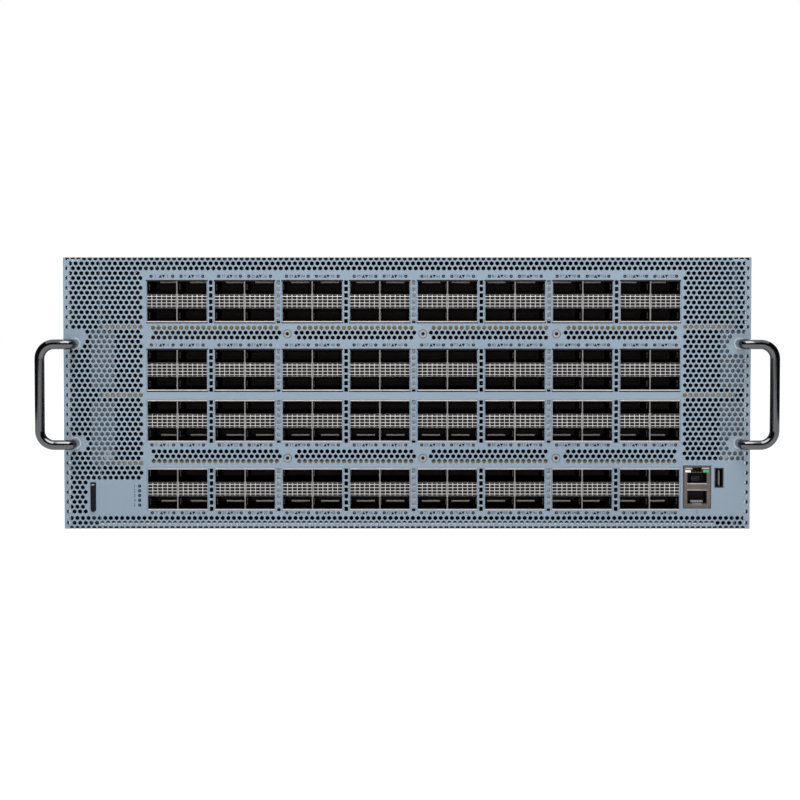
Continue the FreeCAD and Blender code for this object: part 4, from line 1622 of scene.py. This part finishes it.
@dataclass
class BowHandles:
    """The two chrome handles: each is one rod, bent at the panel and at both ends of its grip."""

    rod_r: float = 3.2
    inset: float = 7.0
    neck_r: float = 3.7
    bend_r: float = 9.0
    sides: int = 24
    steps: int = 10
    collar_r: float = 3.95
    seat: float = 0.4

    def rod(self, side: int) -> Obj:
        """Sweep one rod.

        Args:
            side: -1 for the left handle, 1 for the right one.

        Returns:
            The rod with its two ends in the panel.
        """
        x, y, z = spans("front_handles")
        panel = spans("front_panel")
        leg, grip = side * (panel[0][1] - self.inset), side * (x[1] - self.rod_r)
        out, back = y[0] + self.rod_r, panel[1][0] + self.seat
        low, high = shrink(z, self.rod_r)
        neck, neck_x, turn_x = out + self.neck_r, leg + side * self.neck_r, grip - side * self.bend_r
        rod = loop("rod", self.sides, (self.rod_r, self.rod_r), (leg, back, high))
        with Bench(rod) as bench:
            bench.every_edge()
            bench.extrude_edges((0, neck - back, 0))
            bench.spin((neck_x, neck, high), (0, 0, 1), 90 * side, self.steps)
            bench.extrude_edges((turn_x - neck_x, 0, 0))
            bench.spin((turn_x, out, high - self.bend_r), (0, 1, 0), 90 * side, self.steps)
            bench.extrude_edges((0, 0, low - high + 2 * self.bend_r))
            bench.spin((turn_x, out, low + self.bend_r), (0, 1, 0), 90 * side, self.steps)
            bench.extrude_edges((neck_x - turn_x, 0, 0))
            bench.spin((neck_x, neck, low), (0, 0, 1), -90 * side, self.steps)
            bench.extrude_edges((0, back - neck, 0))
            bench.cap()
            bench.edges(lambda a, b: min(a.y, b.y) > back - NEAR and a.z > middle(z))
            bench.cap()
            bench.close_up()
        return dress(rod, CHROME)

    def collars(self) -> list[Obj]:
        """Model the bright collar at each end of the rods.

        Returns:
            The four collars.
        """
        panel, (_, _, z) = spans("front_panel"), spans("front_handles")
        collar = drum("collar", self.collar_r, (0, 0), beyond(panel[1][0], -0.1, self.seat), 28)
        crown(dress(collar, BRIGHT_ZINC), faces_front, 0.2, -0.25)
        legs = shrink(panel[0], self.inset)
        return scatter(collar, [(x, 0, end) for x in legs for end in shrink(z, self.rod_r)])

    def build(self) -> None:
        """Build both handles as one piece."""
        piece = join("bow_handles", [self.rod(side) for side in SIDES] + self.collars())
        soften(piece, 50)
        place_piece(piece, Slot.CHROME, "front_handles")


@dataclass
class ChassisShell:
    """The sheet metal and what is fixed inside it: finishes for the solids, and the small pieces on them."""

    nodes: dict[str, Obj]
    grid: PortGrid
    plain: tuple[tuple[Finish, tuple[str, ...]], ...] = (
        (FOLDED_ZINC, ("chassis_tray", "top_cover")), (ZINC, ("bay_walls",)),
        (BRACKET_ZINC_IN_SHADE, ("left_bracket", "right_bracket")), (BRIGHT_ZINC, ("board_posts",)),
        (BLACK, ("tag_guide", "switch_chip")), (SINK, ("heat_sink",)),
        (BOARD, ("upper_port_board", "main_board", "lower_port_board", "psu_backplane", "fan_board")))
    screw_r: float = 2.7
    screw_h: float = 0.9
    cover_screws: int = 6
    cover_margin: float = 30.0
    cover_inset: float = 7.0
    wall_screws: int = 4
    wall_first: float = 130.0
    wall_step: float = 150.0
    wall_low: float = 12.0
    wall_drop: float = 14.0
    bracket_screws: tuple[Span, ...] = ((-192.3, 46.5), (205.0, 45.4))
    backed_ladders: tuple[int, ...] = (1, 3, 5)
    # the dark sheet in front of the fans, which is painted shade
    pleats: int = 60
    pleat_depth: float = 5.5
    filter_t: float = 0.6

    def finishes(self) -> None:
        """Give the solids that stay their finish."""
        for finish, names in self.plain:
            for name in names:
                for slot in self.nodes[name].material_slots:
                    slot.material = finish.material()

    def screw(self, *finishes: Finish) -> Obj:
        """Model a flat screw head that faces +Z, with a recess.

        Args:
            finishes: those of the head and of the recess.

        Returns:
            The head, its face at Z zero.
        """
        bpy.ops.mesh.primitive_cylinder_add(vertices=20, radius=self.screw_r * MM, depth=self.screw_h * MM,
                                            location=metres(0, 0, -self.screw_h / 2))
        head = dress(settle(bpy.context.object, "screw"), *finishes)
        with Bench(head) as bench:
            bench.faces(lambda at, normal: normal.z > FLAT)
            bench.inset(0.45)
            bench.inset(0.75)
            bench.extrude((0, 0, -0.5))
            # The recess takes the second finish; where that is dark, it is painted shade.
            bench.paint(1)
        return head

    def screws(self) -> None:
        """Set screws flush in the cover's edges and in the side walls."""
        x, y, z = spans("top_cover")
        step = (extent(y) - 2 * self.cover_margin) / (self.cover_screws - 1)
        cover = [y[0] + self.cover_margin + i * step for i in range(self.cover_screws)]
        wall = [y[0] + self.wall_first + i * self.wall_step for i in range(self.wall_screws)]
        heads = scatter(self.screw(ZINC, PORT_SHADE), [(across, along, z[1]) for along in cover
                                                       for across in shrink(x, self.cover_inset)])
        for side in SIDES:
            places = [(side * x[1], along, up) for along in wall for up in (self.wall_low, z[1] - self.wall_drop)]
            heads += scatter(self.screw(ZINC, PORT_SHADE), places, Matrix.Rotation(side * math.pi / 2, 4, "Y"))
        place_piece(join("case_screws", heads), Slot.BRACKET)

    def flange_screws(self) -> None:
        """Set the bright screws on the lower flanges of the brackets."""
        front = spans("left_bracket")[1][0] - self.screw_h
        places = [(x, front, z) for x, z in self.bracket_screws]
        heads = scatter(self.screw(BRIGHT_ZINC, BRIGHT_ZINC), places, Matrix.Rotation(math.pi / 2, 4, "X"))
        place_piece(join("flange_screws", heads), Slot.BRACKET)

    def ladder_backs(self) -> None:
        """Set the light strips behind every second ladder, which join the cages in pairs."""
        back = spans("front_panel")[1][1]
        strips = []
        for row in self.grid.rows:
            z = shrink(self.grid.mouth(row), 0.5)
            strip = box("strip", about(0, self.grid.ladder / 2 - 0.05), beyond(back, 1.0, 3.0), z)
            crown(dress(strip, BRIGHT_ZINC), faces_front, 0.5, 0.5)
            places = [(self.grid.centres()[i] + self.grid.pitch / 2, 0, 0) for i in self.backed_ladders]
            strips += scatter(strip, places)
        place_piece(join("ladder_backs", strips), Slot.BRACKET)

    def air_filter(self) -> None:
        """Fold the dark sheet that stands in front of the fans: painted shade, which darkens the view through the
        case.
        """
        (x, y, _), (_, _, z) = spans("fan_board"), spans("bay_walls")
        x = shrink(x, 0.4)
        sheet = grid_sheet("air_filter", (self.pleats, 1), (extent(x), extent(z) - 0.6),
                           (middle(x), y[0] - 0.9, middle(z)))
        with Bench(sheet) as bench:
            bench.points(lambda at: round((at.x - x[0]) / extent(x) * self.pleats) % 2 == 1)
            bench.move((0, -self.pleat_depth, 0))
        modify(sheet, "SOLIDIFY", thickness=self.filter_t * MM, offset=0)
        with Bench(sheet) as bench:
            bench.close_up()
        place_piece(dress(sheet, BLACK), Slot.BLACK)

    def build(self) -> None:
        """Dress the solids and add the small pieces."""
        for step in (self.finishes, self.screws, self.flange_screws, self.ladder_backs, self.air_filter):
            step()


# Rear of the switch


@dataclass(frozen=True)
class BayPiece:
    """One piece of a plug-in module, with the names of its solid and its body in each bay."""

    pattern: Obj
    solid: str
    body: str
    slot: Slot


@dataclass
class PlugIn:
    """What the fans and the supplies share: moulded pull, sprung latch, latch ears, lamp, and the copies."""

    count: int
    word: str
    home: str
    bar: float = 5.0
    pull_round: float = 1.3
    latch_round: float = 2.5
    ribs: int = 5
    rib_step: float = 1.8
    rib_waist: float = 0.62
    ear_y: Span = (-0.5, 8.0)
    ear_t: float = 2.0
    ear_gap: float = 0.3

    def pull(self, x: Span, y: Span, z: Span) -> Obj:
        """Model a pull: a block with its middle taken out, rounded for the fingers.

        Args:
            x, y, z: where it lies.

        Returns:
            The pull.
        """
        block = box("pull", x, y, z)
        inner, gap = y[1] - self.bar, shrink(z, self.bar)

        def on_gap(at: Vector) -> bool:
            """Whether a point is on the outline of the finger gap."""
            on_side = min(abs(at.z - end) for end in gap) < NEAR and at.y < inner + NEAR
            return on_side or abs(at.y - inner) < NEAR and within(at.z, shrink(gap, -NEAR))

        with Bench(block) as bench:
            bench.cut(2, gap)
            bench.cut(1, (inner,))
            bench.faces(lambda at, normal: within(at.z, gap) and at.y < inner)
            bpy.ops.mesh.delete(type="FACE")
            bench.edges(lambda a, b: abs(a.x - b.x) < NEAR and on_gap(a) and on_gap(b))
            bpy.ops.mesh.bridge_edge_loops()
            bench.close_up()
            bench.edges(lambda a, b: abs(a.x - b.x) < NEAR)
            bench.bevel(self.pull_round, 3)
        return dress(block, BLACK)

    def latch(self, node: str) -> Obj:
        """Model a latch: a lever with a thicker, ribbed thumb end.

        Args:
            node: the solid that it stands for.

        Returns:
            The lever.
        """
        x, y, z = spans(node)
        lever = box("latch", x, y, z)
        ribs = [y[1] - 2 - self.rib_step * i for i in range(self.ribs)]
        hollows = [rib + self.rib_step / 2 for rib in ribs[1::2]]
        with Bench(lever) as bench:
            bench.edges(lambda a, b: min(a.y, b.y) > y[1] - 0.1 and abs(a.x - b.x) > 0.1)
            bench.bevel(self.latch_round, 4)
            bench.cut(1, ribs)
            bench.faces(lambda at, normal: abs(normal.x) > FLAT and any(abs(at.y - place) < 0.5 for place in hollows))
            bench.inset(0.35, each=True)
            bench.scale((self.rib_waist, 1, 1), (middle(x), y[1], middle(z)))
            bench.edges(lambda a, b: abs(a.x - b.x) < NEAR and abs(abs(a.x - middle(x)) - extent(x) / 2) < NEAR
                        and a.y > y[1] - NEAR)
            bench.bevel(0.4, 2)
        return dress(lever, LATCH)

    def ears(self, node: str, back: float, finish: Finish) -> list[Obj]:
        """Model the two ears that carry a latch.

        Args:
            node: the solid of the latch.
            back: rear face of the module.
            finish: the ears' finish.

        Returns:
            The ears.
        """
        x, _, z = spans(node)
        ear = box("ear", x, beyond(back, *self.ear_y), (0, self.ear_t), 0.5, 2)
        return scatter(dress(ear, finish), [(0, 0, z[0] - self.ear_gap - self.ear_t), (0, 0, z[1] + self.ear_gap)])

    def lamp(self, radius: float, centre: Span, back: float) -> Obj:
        """Model the domed status lamp on a module's rear face."""
        lamp = drum(self.word + "_lamp", radius, centre, beyond(back, -1, 0.5), 14)
        return crown(dress(lamp, GREEN_LAMP), faces_rear, 0.5, 0.3)

    def fill_bays(self, pieces: dict[str, BayPiece]) -> None:
        """Copy the pieces of the first module to all the bays.

        Args:
            pieces: last word of the pieces' names to the piece.
        """
        first = spans(self.home % 1)
        for number in range(1, self.count + 1):
            shift = tuple(here[0] - there[0] for here, there in zip(spans(self.home % number), first))
            for kind, piece in pieces.items():
                copy = clone(piece.pattern, f"{self.word}_{number}_{kind}", shift)
                place_piece(copy, piece.slot, piece.solid % number, body=piece.body % number)
        scrap(*(piece.pattern for piece in pieces.values()))


@dataclass
class FanModule(PlugIn):
    """A plug-in fan: housing with a round bore and a wire guard, a rotor with curved blades, and a latch."""

    count: int = 8
    word: str = "fan"
    home: str = "fan_frame_%d"
    depth: float = 60.0
    rim: float = 3.4
    bore_round: float = 1.4
    hub_r: float = 20.0
    guard_rings: tuple[float, ...] = (14.0, 22.0, 30.0, 37.0)
    guard_set: float = 1.3
    guard_rise: float = 0.25
    wire_r: float = 0.75
    spokes: int = 4
    spoke_start: float = 6.0
    spoke_over: float = 0.6
    spoke_y: Span = (-2.6, -1.4)
    spoke_half: float = 0.7
    cap_r: float = 7.5
    cap_y: Span = (-2.6, -0.9)
    arm_root: float = 4.0
    arm_over: float = 0.5
    arm_y: Span = (0.3, 3.6)
    arm_half: float = 2.2
    motor_y: Span = (0.0, 3.9)
    pull_x: Span = (-12.0, -3.0)
    pull_inset: float = 3.0
    lamp_r: float = 1.6
    lamp_at: Span = (5.0, 6.0)
    blades: int = 5
    chord: float = 24.0
    camber: float = 2.6
    root_pitch: float = 50.0
    twist: float = 14.0
    blade_t: float = 1.6
    blade_cells: tuple[int, int] = (8, 6)
    tip_gap: float = 1.6

    def bore(self) -> tuple[Span, float]:
        """Tell where the first fan's bore lies.

        Returns:
            Its axis, as X and Z, and its radius.
        """
        x, _, z = spans(self.home % 1)
        return (middle(x), middle(z)), min(extent(x), extent(z)) / 2 - self.rim

    def sleeve(self) -> Obj:
        """Model the square sleeve round the bore.

        Returns:
            The sleeve, with a rounded rear edge of its bore.
        """
        x, y, z = spans(self.home % 1)
        centre, bore = self.bore()
        start, back = (centre[0], y[0], centre[1]), y[0] + self.depth
        loops = [loop("sleeve", 4, (extent(x) / 2, extent(z) / 2), start), loop("bore", 48, (bore, bore), start)]
        sleeve = plate_of("sleeve", loops, (y[0], back))

        def on_rim(at: Vector) -> bool:
            """Whether a point lies at the rear of the module."""
            return abs(at.y - back) < NEAR

        with Bench(sleeve) as bench:
            bench.edges(lambda a, b: on_rim(a) and on_rim(b) and (a - b).length < 2 * math.pi * bore / 40
                        and min(math.hypot(p.x - centre[0], p.z - centre[1]) for p in (a, b)) < bore + 0.1)
            bench.bevel(self.bore_round, 3)
        return dress(sleeve, BLACK)

    def guard_ring(self, radius: float, back: float) -> Obj:
        """Model one ring of the wire guard, a little flattened towards the rear.

        Args:
            radius: its radius.
            back: rear face of the module.

        Returns:
            The ring.
        """
        (x, z), _ = self.bore()
        bpy.ops.mesh.primitive_torus_add(
            major_segments=44, minor_segments=8, major_radius=radius * MM, minor_radius=self.wire_r * MM,
            location=metres(x, back - self.guard_set, z), rotation=UPRIGHT)
        wire = settle(bpy.context.object, "guard")
        with Bench(wire) as bench:
            bench.faces(lambda at, normal: normal.y > 0.5)
            bench.move((0, self.guard_rise, 0))
        return dress(wire, ZINC)

    def housing(self) -> Obj:
        """Model the first fan's housing: sleeve, guard, stator arms, pull, latch ears and lamp.

        Returns:
            The housing.
        """
        x, y, z = spans(self.home % 1)
        centre, bore = self.bore()
        back = y[0] + self.depth
        parts = [self.sleeve()] + [self.guard_ring(radius, back) for radius in self.guard_rings]
        spoke = box("spoke", (self.spoke_start, bore + self.spoke_over), beyond(back, *self.spoke_y),
                    about(0, self.spoke_half), 0.35, 2)
        arm = box("stator", (self.hub_r - self.arm_root, bore + self.arm_over), beyond(y[0], *self.arm_y),
                  about(0, self.arm_half), 0.8, 2)
        for pattern in (dress(spoke, ZINC), dress(arm, BLACK)):
            for i in range(self.spokes):
                turn = Matrix.Rotation(math.pi / 4 + 2 * math.pi * i / self.spokes, 4, "Y")
                parts.append(clone(pattern, pattern.name, (centre[0], 0, centre[1]), turn))
            scrap(pattern)
        cap = drum("guard_cap", self.cap_r, centre, beyond(back, *self.cap_y), 28)
        parts.append(crown(dress(cap, ZINC), faces_rear, 1.6, 0.4))
        motor = drum("motor", self.hub_r - 1, centre, beyond(y[0], *self.motor_y), 36)
        parts.append(crown(dress(motor, BLACK), faces_front, 4, 0.8))
        parts.append(self.pull(beyond(x[1], *self.pull_x), (back, y[1]), shrink(z, self.pull_inset)))
        parts += self.ears("fan_latch_1", back, BLACK)
        parts.append(self.lamp(self.lamp_r, (x[0] + self.lamp_at[0], z[0] + self.lamp_at[1]), back))
        housing = join("fan_housing", parts)
        soften(housing)
        return housing

    def rotor(self) -> Obj:
        """Model the first fan's rotor: a domed hub and curved, twisted blades.

        Returns:
            The rotor.
        """
        y = spans("fan_rotor_1")[1]
        centre, bore = self.bore()
        hub = drum("hub", self.hub_r, (0, 0), y, 40)
        with Bench(hub) as bench:
            bench.faces(faces_rear)
            bench.bevel(2.5, 4)
            bench.faces(lambda at, normal: normal.y > 0.99)
            bench.inset(7)
            bench.inset(1)
            bench.extrude((0, -0.8, 0))
        parts = [dress(hub, ROTOR)]
        blade = self.blade(middle(y), bore - self.tip_gap)
        for i in range(self.blades):
            parts.append(clone(blade, "blade", (0, 0, 0), Matrix.Rotation(2 * math.pi * i / self.blades, 4, "Y")))
        scrap(blade)
        rotor = join("fan_rotor", parts)
        rotor.data.transform(shift_by(centre[0], 0, centre[1]))
        soften(rotor, 40)
        return rotor

    def blade(self, y: float, tip: float) -> Obj:
        """Model one blade along +X: a sheet that is cambered, pitched, twisted towards its tip and thickened.

        Args:
            y: middle of the blade along the axis.
            tip: radius at the tip.

        Returns:
            The blade.
        """
        root, (cells, rows) = self.hub_r - 1.5, self.blade_cells
        span = tip - root
        blade = grid_sheet("blade", self.blade_cells, (span, self.chord), (0, 0, 0), (0, 0, 0))
        with Bench(blade) as bench:
            for j in range(rows + 1):
                across = self.chord * (j / rows - 0.5)
                bench.points(lambda at: abs(at.y - across) < 0.05)
                bench.move((0, 0, self.camber * (1 - (2 * across / self.chord) ** 2)))
            for i in range(cells + 1):
                along = span * (i / cells - 0.5)
                bench.points(lambda at: abs(at.x - along) < 0.05)
                angle = math.radians(self.root_pitch - self.twist * i / cells)
                bpy.ops.transform.rotate(value=-angle, orient_axis="X", center_override=metres(along, 0, 0))
        modify(blade, "SOLIDIFY", thickness=self.blade_t * MM, offset=0)
        blade.data.transform(shift_by(root + span / 2, y, 0))
        with Bench(blade) as bench:
            bench.close_up()
        return dress(blade, ROTOR)

    def build(self) -> None:
        """Model the first fan and copy it to all the bays."""
        self.fill_bays({
            "housing": BayPiece(self.housing(), self.home, "fan_%d", Slot.BLACK),
            "rotor": BayPiece(self.rotor(), "fan_rotor_%d", "fan_rotor_%d", Slot.ROTOR),
            "latch": BayPiece(self.latch("fan_latch_1"), "fan_latch_%d", "fan_latch_%d", Slot.LATCH)})


@dataclass
class SupplyModule(PlugIn):
    """A plug-in power supply: steel case with a perforated end, the mains inlet, a pull and a latch."""

    count: int = 4
    word: str = "supply"
    home: str = "psu_case_%d"
    rear_room: float = 8.0
    end_t: float = 1.2
    vent_pitch: float = 4.2
    vent_flats: float = 3.4
    vent_first: float = 15.5
    vent_columns: int = 5
    vent_rows: int = 9
    inlet_x: float = 21.0
    inlet_half: Span = (13.5, 10.0)
    inlet_y: Span = (-13.6, 0.6)
    pins: tuple[Span, ...] = ((-7.0, -2.0), (7.0, -2.0), (0.0, 2.6))

    def end_plate(self, x: Span, y: Span, z: Span, inlet: tuple[Span, Span]) -> Obj:
        """Model the perforated end plate.

        Args:
            x, z: outline of the plate.
            y: its front and rear.
            inlet: the window for the mains inlet, along X and Z.

        Returns:
            The plate, with hexagonal holes between the pull and the inlet.
        """
        radius = self.vent_flats / 2 / math.cos(math.pi / 6)
        loops = [loop("end", 4, (extent(across) / 2, extent(up) / 2), (middle(across), y[0], middle(up)))
                 for across, up in ((x, z), inlet)]
        for i in range(self.vent_rows):
            up = (i - self.vent_rows // 2) * self.vent_pitch * math.sqrt(3) / 2
            start = x[0] + self.vent_first + i % 2 * self.vent_pitch / 2
            row = loop("vent", 6, (radius, radius), (start, y[0], middle(z) + up))
            array(row, self.vent_columns, (self.vent_pitch, 0, 0))
            loops.append(row)
        return dress(plate_of("end_plate", loops, y), SUPPLY_STEEL)

    def inlet(self, x: Span, y: Span, z: Span) -> Obj:
        """Model the mains inlet: a black shroud with two chamfered corners and three flat pins.

        Args:
            x, y, z: where it lies.

        Returns:
            The inlet.
        """
        shroud = dress(box("inlet", x, y, z), BLACK, PORT_SHADE)
        with Bench(shroud) as bench:
            bench.edges(lambda a, b: abs(a.y - b.y) > 1 and max(a.z, b.z) > z[1] - 0.1)
            bench.bevel(3.0)
            bench.faces(faces_rear)
            bench.inset(1.5)
            bench.extrude((0, -0.6, 0))
            bench.extrude((0, 2.5 - extent(y), 0))
        pin = box("pin", about(middle(x), 1), (y[0] + 1, y[1] - 3.5), about(middle(z), 2), 0.3, 2)
        pins = scatter(dress(pin, NICKEL), [(across, 0, up) for across, up in self.pins])
        return join("inlet", [shroud] + pins)

    def case(self) -> Obj:
        """Model the first supply's case with its end plate, inlet, latch ears and lamp.

        Returns:
            The case.
        """
        x, y, z = spans(self.home % 1)
        back = y[1] - self.rear_room
        front = back - self.end_t
        case = dress(box("case", x, (y[0], front), z), SUPPLY_STEEL, PORT_SHADE)
        with Bench(case) as bench:
            bench.edges(lambda a, b: abs(a.y - b.y) > 1)
            bench.bevel(0.8, 2)
            bench.faces(faces_rear)
            bench.inset(1.0)
            bench.extrude((0, -12, 0))
            # The inside behind the end plate is painted dark: painted shade.
            bench.paint_inside(shrink(x, 0.5), (back - 15, back), shrink(z, 0.5))
        inlet = about(x[1] - self.inlet_x, self.inlet_half[0]), about(middle(z), self.inlet_half[1])
        parts = [case, self.end_plate(x, (front, back), z, inlet)]
        parts.append(self.inlet(shrink(inlet[0], 0.1), beyond(back, *self.inlet_y), shrink(inlet[1], 0.1)))
        parts += self.ears("psu_latch_1", back, SUPPLY_STEEL)
        parts.append(self.lamp(1.5, (spans("psu_latch_1")[0][0] + 1.5, z[1] - 4), back))
        return join("supply_case", parts)

    def build(self) -> None:
        """Model the first supply and copy it to all the bays."""
        pieces = {
            "case": BayPiece(self.case(), self.home, "supply_%d", Slot.SUPPLY),
            "pull": BayPiece(self.pull(*spans("psu_pull_1")), "psu_pull_%d", "supply_%d", Slot.BLACK),
            "latch": BayPiece(self.latch("psu_latch_1"), "psu_latch_%d", "supply_latch_%d", Slot.LATCH)}
        for piece in pieces.values():
            soften(piece.pattern)
        self.fill_bays(pieces)


# Studio


def look(place: Place, aim: Place) -> Place:
    """Rotation of a lamp or a camera that faces a point."""
    return tuple((Vector(aim) - Vector(place)).to_track_quat("-Z", "Y").to_euler())


@dataclass(frozen=True)
class DarkCard:
    """A dark card that only reflections show, which gives bright metal its dark bands."""

    name: str
    place: Place
    turn: float
    size: Span

    def build(self) -> None:
        """Stand the card, turned about Z from facing along Y."""
        bpy.ops.mesh.primitive_plane_add(size=1, location=metres(*self.place),
                                         rotation=(math.pi / 2, 0, math.radians(self.turn)))
        card = bpy.context.object
        card.scale = metres(*self.size, 1)
        settle(card, self.name)
        material = bpy.data.materials.new(self.name)
        material.use_nodes = True
        feed(material.node_tree.nodes["Principled BSDF"], {"Base Color": (0.02, 0.02, 0.022, 1), "Roughness": 0.9})
        card.data.materials.append(material)
        card.visible_camera = card.visible_diffuse = card.visible_shadow = False


@dataclass(frozen=True)
class SoftBox:
    """A square lamp, which reflections may show or not."""

    name: str
    place: Place
    aim: Place
    size: float
    watts: float
    reflected: bool = True

    def build(self) -> None:
        """Hang the lamp."""
        bpy.ops.object.light_add(type="AREA", location=metres(*self.place), rotation=look(self.place, self.aim))
        lamp = bpy.context.object
        lamp.name = self.name
        lamp.data.size = self.size * MM
        lamp.data.energy = self.watts
        lamp.visible_camera = False
        lamp.visible_glossy = self.reflected


@dataclass
class Studio:
    """Floor, soft light and the camera at the photograph's angle."""

    eye: Place = (-4.6, -1772.0, 154.0)
    target: Place = (-4.6, -310.0, 82.8)
    lens: float = 102.8
    sensor: float = 36.0
    floor_size: float = 9000.0
    floor_drop: float = 0.3
    floor_share: float = 0.8
    cards: tuple[DarkCard, ...] = (
        DarkCard("front_card", (0, -3300, 1350), 0, (5200, 3900)),
        DarkCard("left_card", (-1100, -500, 700), 90, (2600, 1400)),
        DarkCard("right_card", (1100, -500, 700), 90, (2600, 1400)))
    lamps: tuple[SoftBox, ...] = (
        SoftBox("key", (0, -700, 690), (0, -310, 90), 600, 5.1),
        SoftBox("fill", (0, -2300, 130), (0, -310, 90), 260, 8.5, reflected=False),
        SoftBox("rear", (600, 1900, 1500), (0, 310, 90), 1900, 26))

    def seen(self, tree: Tree, share: float) -> Socket:
        """Tell rays that see the surround from rays that light the object.

        Args:
            tree: node tree of the floor or the world.
            share: value for the camera's, glossy and transmitted rays.

        Returns:
            A socket that is the share for those rays and 0 for all others.
        """
        path = add_node(tree, "LightPath").outputs
        total = calc(tree, "MAXIMUM", path["Is Camera Ray"], path["Is Glossy Ray"])
        total = calc(tree, "MAXIMUM", total, path["Is Transmission Ray"])
        return calc(tree, "MULTIPLY", total, share)

    def floor(self) -> None:
        """Lay a pale floor that stays white to the camera but keeps the shadow."""
        bpy.ops.mesh.primitive_plane_add(size=self.floor_size * MM, location=metres(0, 0, -self.floor_drop))
        floor = settle(bpy.context.object, "floor")
        material = bpy.data.materials.new("pale_floor")
        material.use_nodes = True
        tree = material.node_tree
        shader = tree.nodes["Principled BSDF"]
        feed(shader, {"Base Color": (0.86, 0.86, 0.86, 1), "Roughness": 0.9, "Specular IOR Level": 0.0})
        white = add_node(tree, "Emission", {"Strength": 1.2})
        mix_shaders(tree, self.seen(tree, self.floor_share), shader.outputs["BSDF"], white.outputs["Emission"],
                    "Material Output")
        floor.data.materials.append(material)

    def world(self) -> None:
        """Set the surround: white to the camera and in reflections, and a soft grey light on the object."""
        world = bpy.data.worlds.new("surround")
        bpy.context.scene.world = world
        world.use_nodes = True
        tree = world.node_tree
        sky = tree.nodes["Background"]
        feed(sky, {"Color": (0.42, 0.43, 0.45, 1)})
        white = add_node(tree, "Background", {"Color": (1, 1, 1, 1)})
        mix_shaders(tree, self.seen(tree, 1.0), sky.outputs["Background"], white.outputs["Background"],
                    "World Output")

    def camera(self) -> None:
        """Set the camera."""
        bpy.ops.object.camera_add(location=metres(*self.eye), rotation=look(self.eye, self.target))
        camera = bpy.context.object
        camera.data.sensor_fit = "HORIZONTAL"
        camera.data.sensor_width = self.sensor
        camera.data.lens = self.lens
        bpy.context.scene.camera = camera

    def build(self) -> None:
        """Build the studio."""
        bpy.context.scene.view_settings.view_transform = "Standard"
        self.floor()
        self.world()
        for fitting in self.cards + self.lamps:
            fitting.build()
        self.camera()


def main() -> None:
    """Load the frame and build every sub-assembly round it."""
    logging.basicConfig(level=logging.INFO, format="%(name)s: %(message)s")
    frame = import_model()
    grid = PortGrid()
    for part in (PerforatedPanel(grid), PortCages(grid), ServiceJacks(), PullTag(), BowHandles(),
                 ChassisShell(frame["nodes"], grid), FanModule(), SupplyModule(), Studio()):
        LOG.info("building %s", type(part).__name__)
        part.build()


if __name__ == "__main__":
    main()
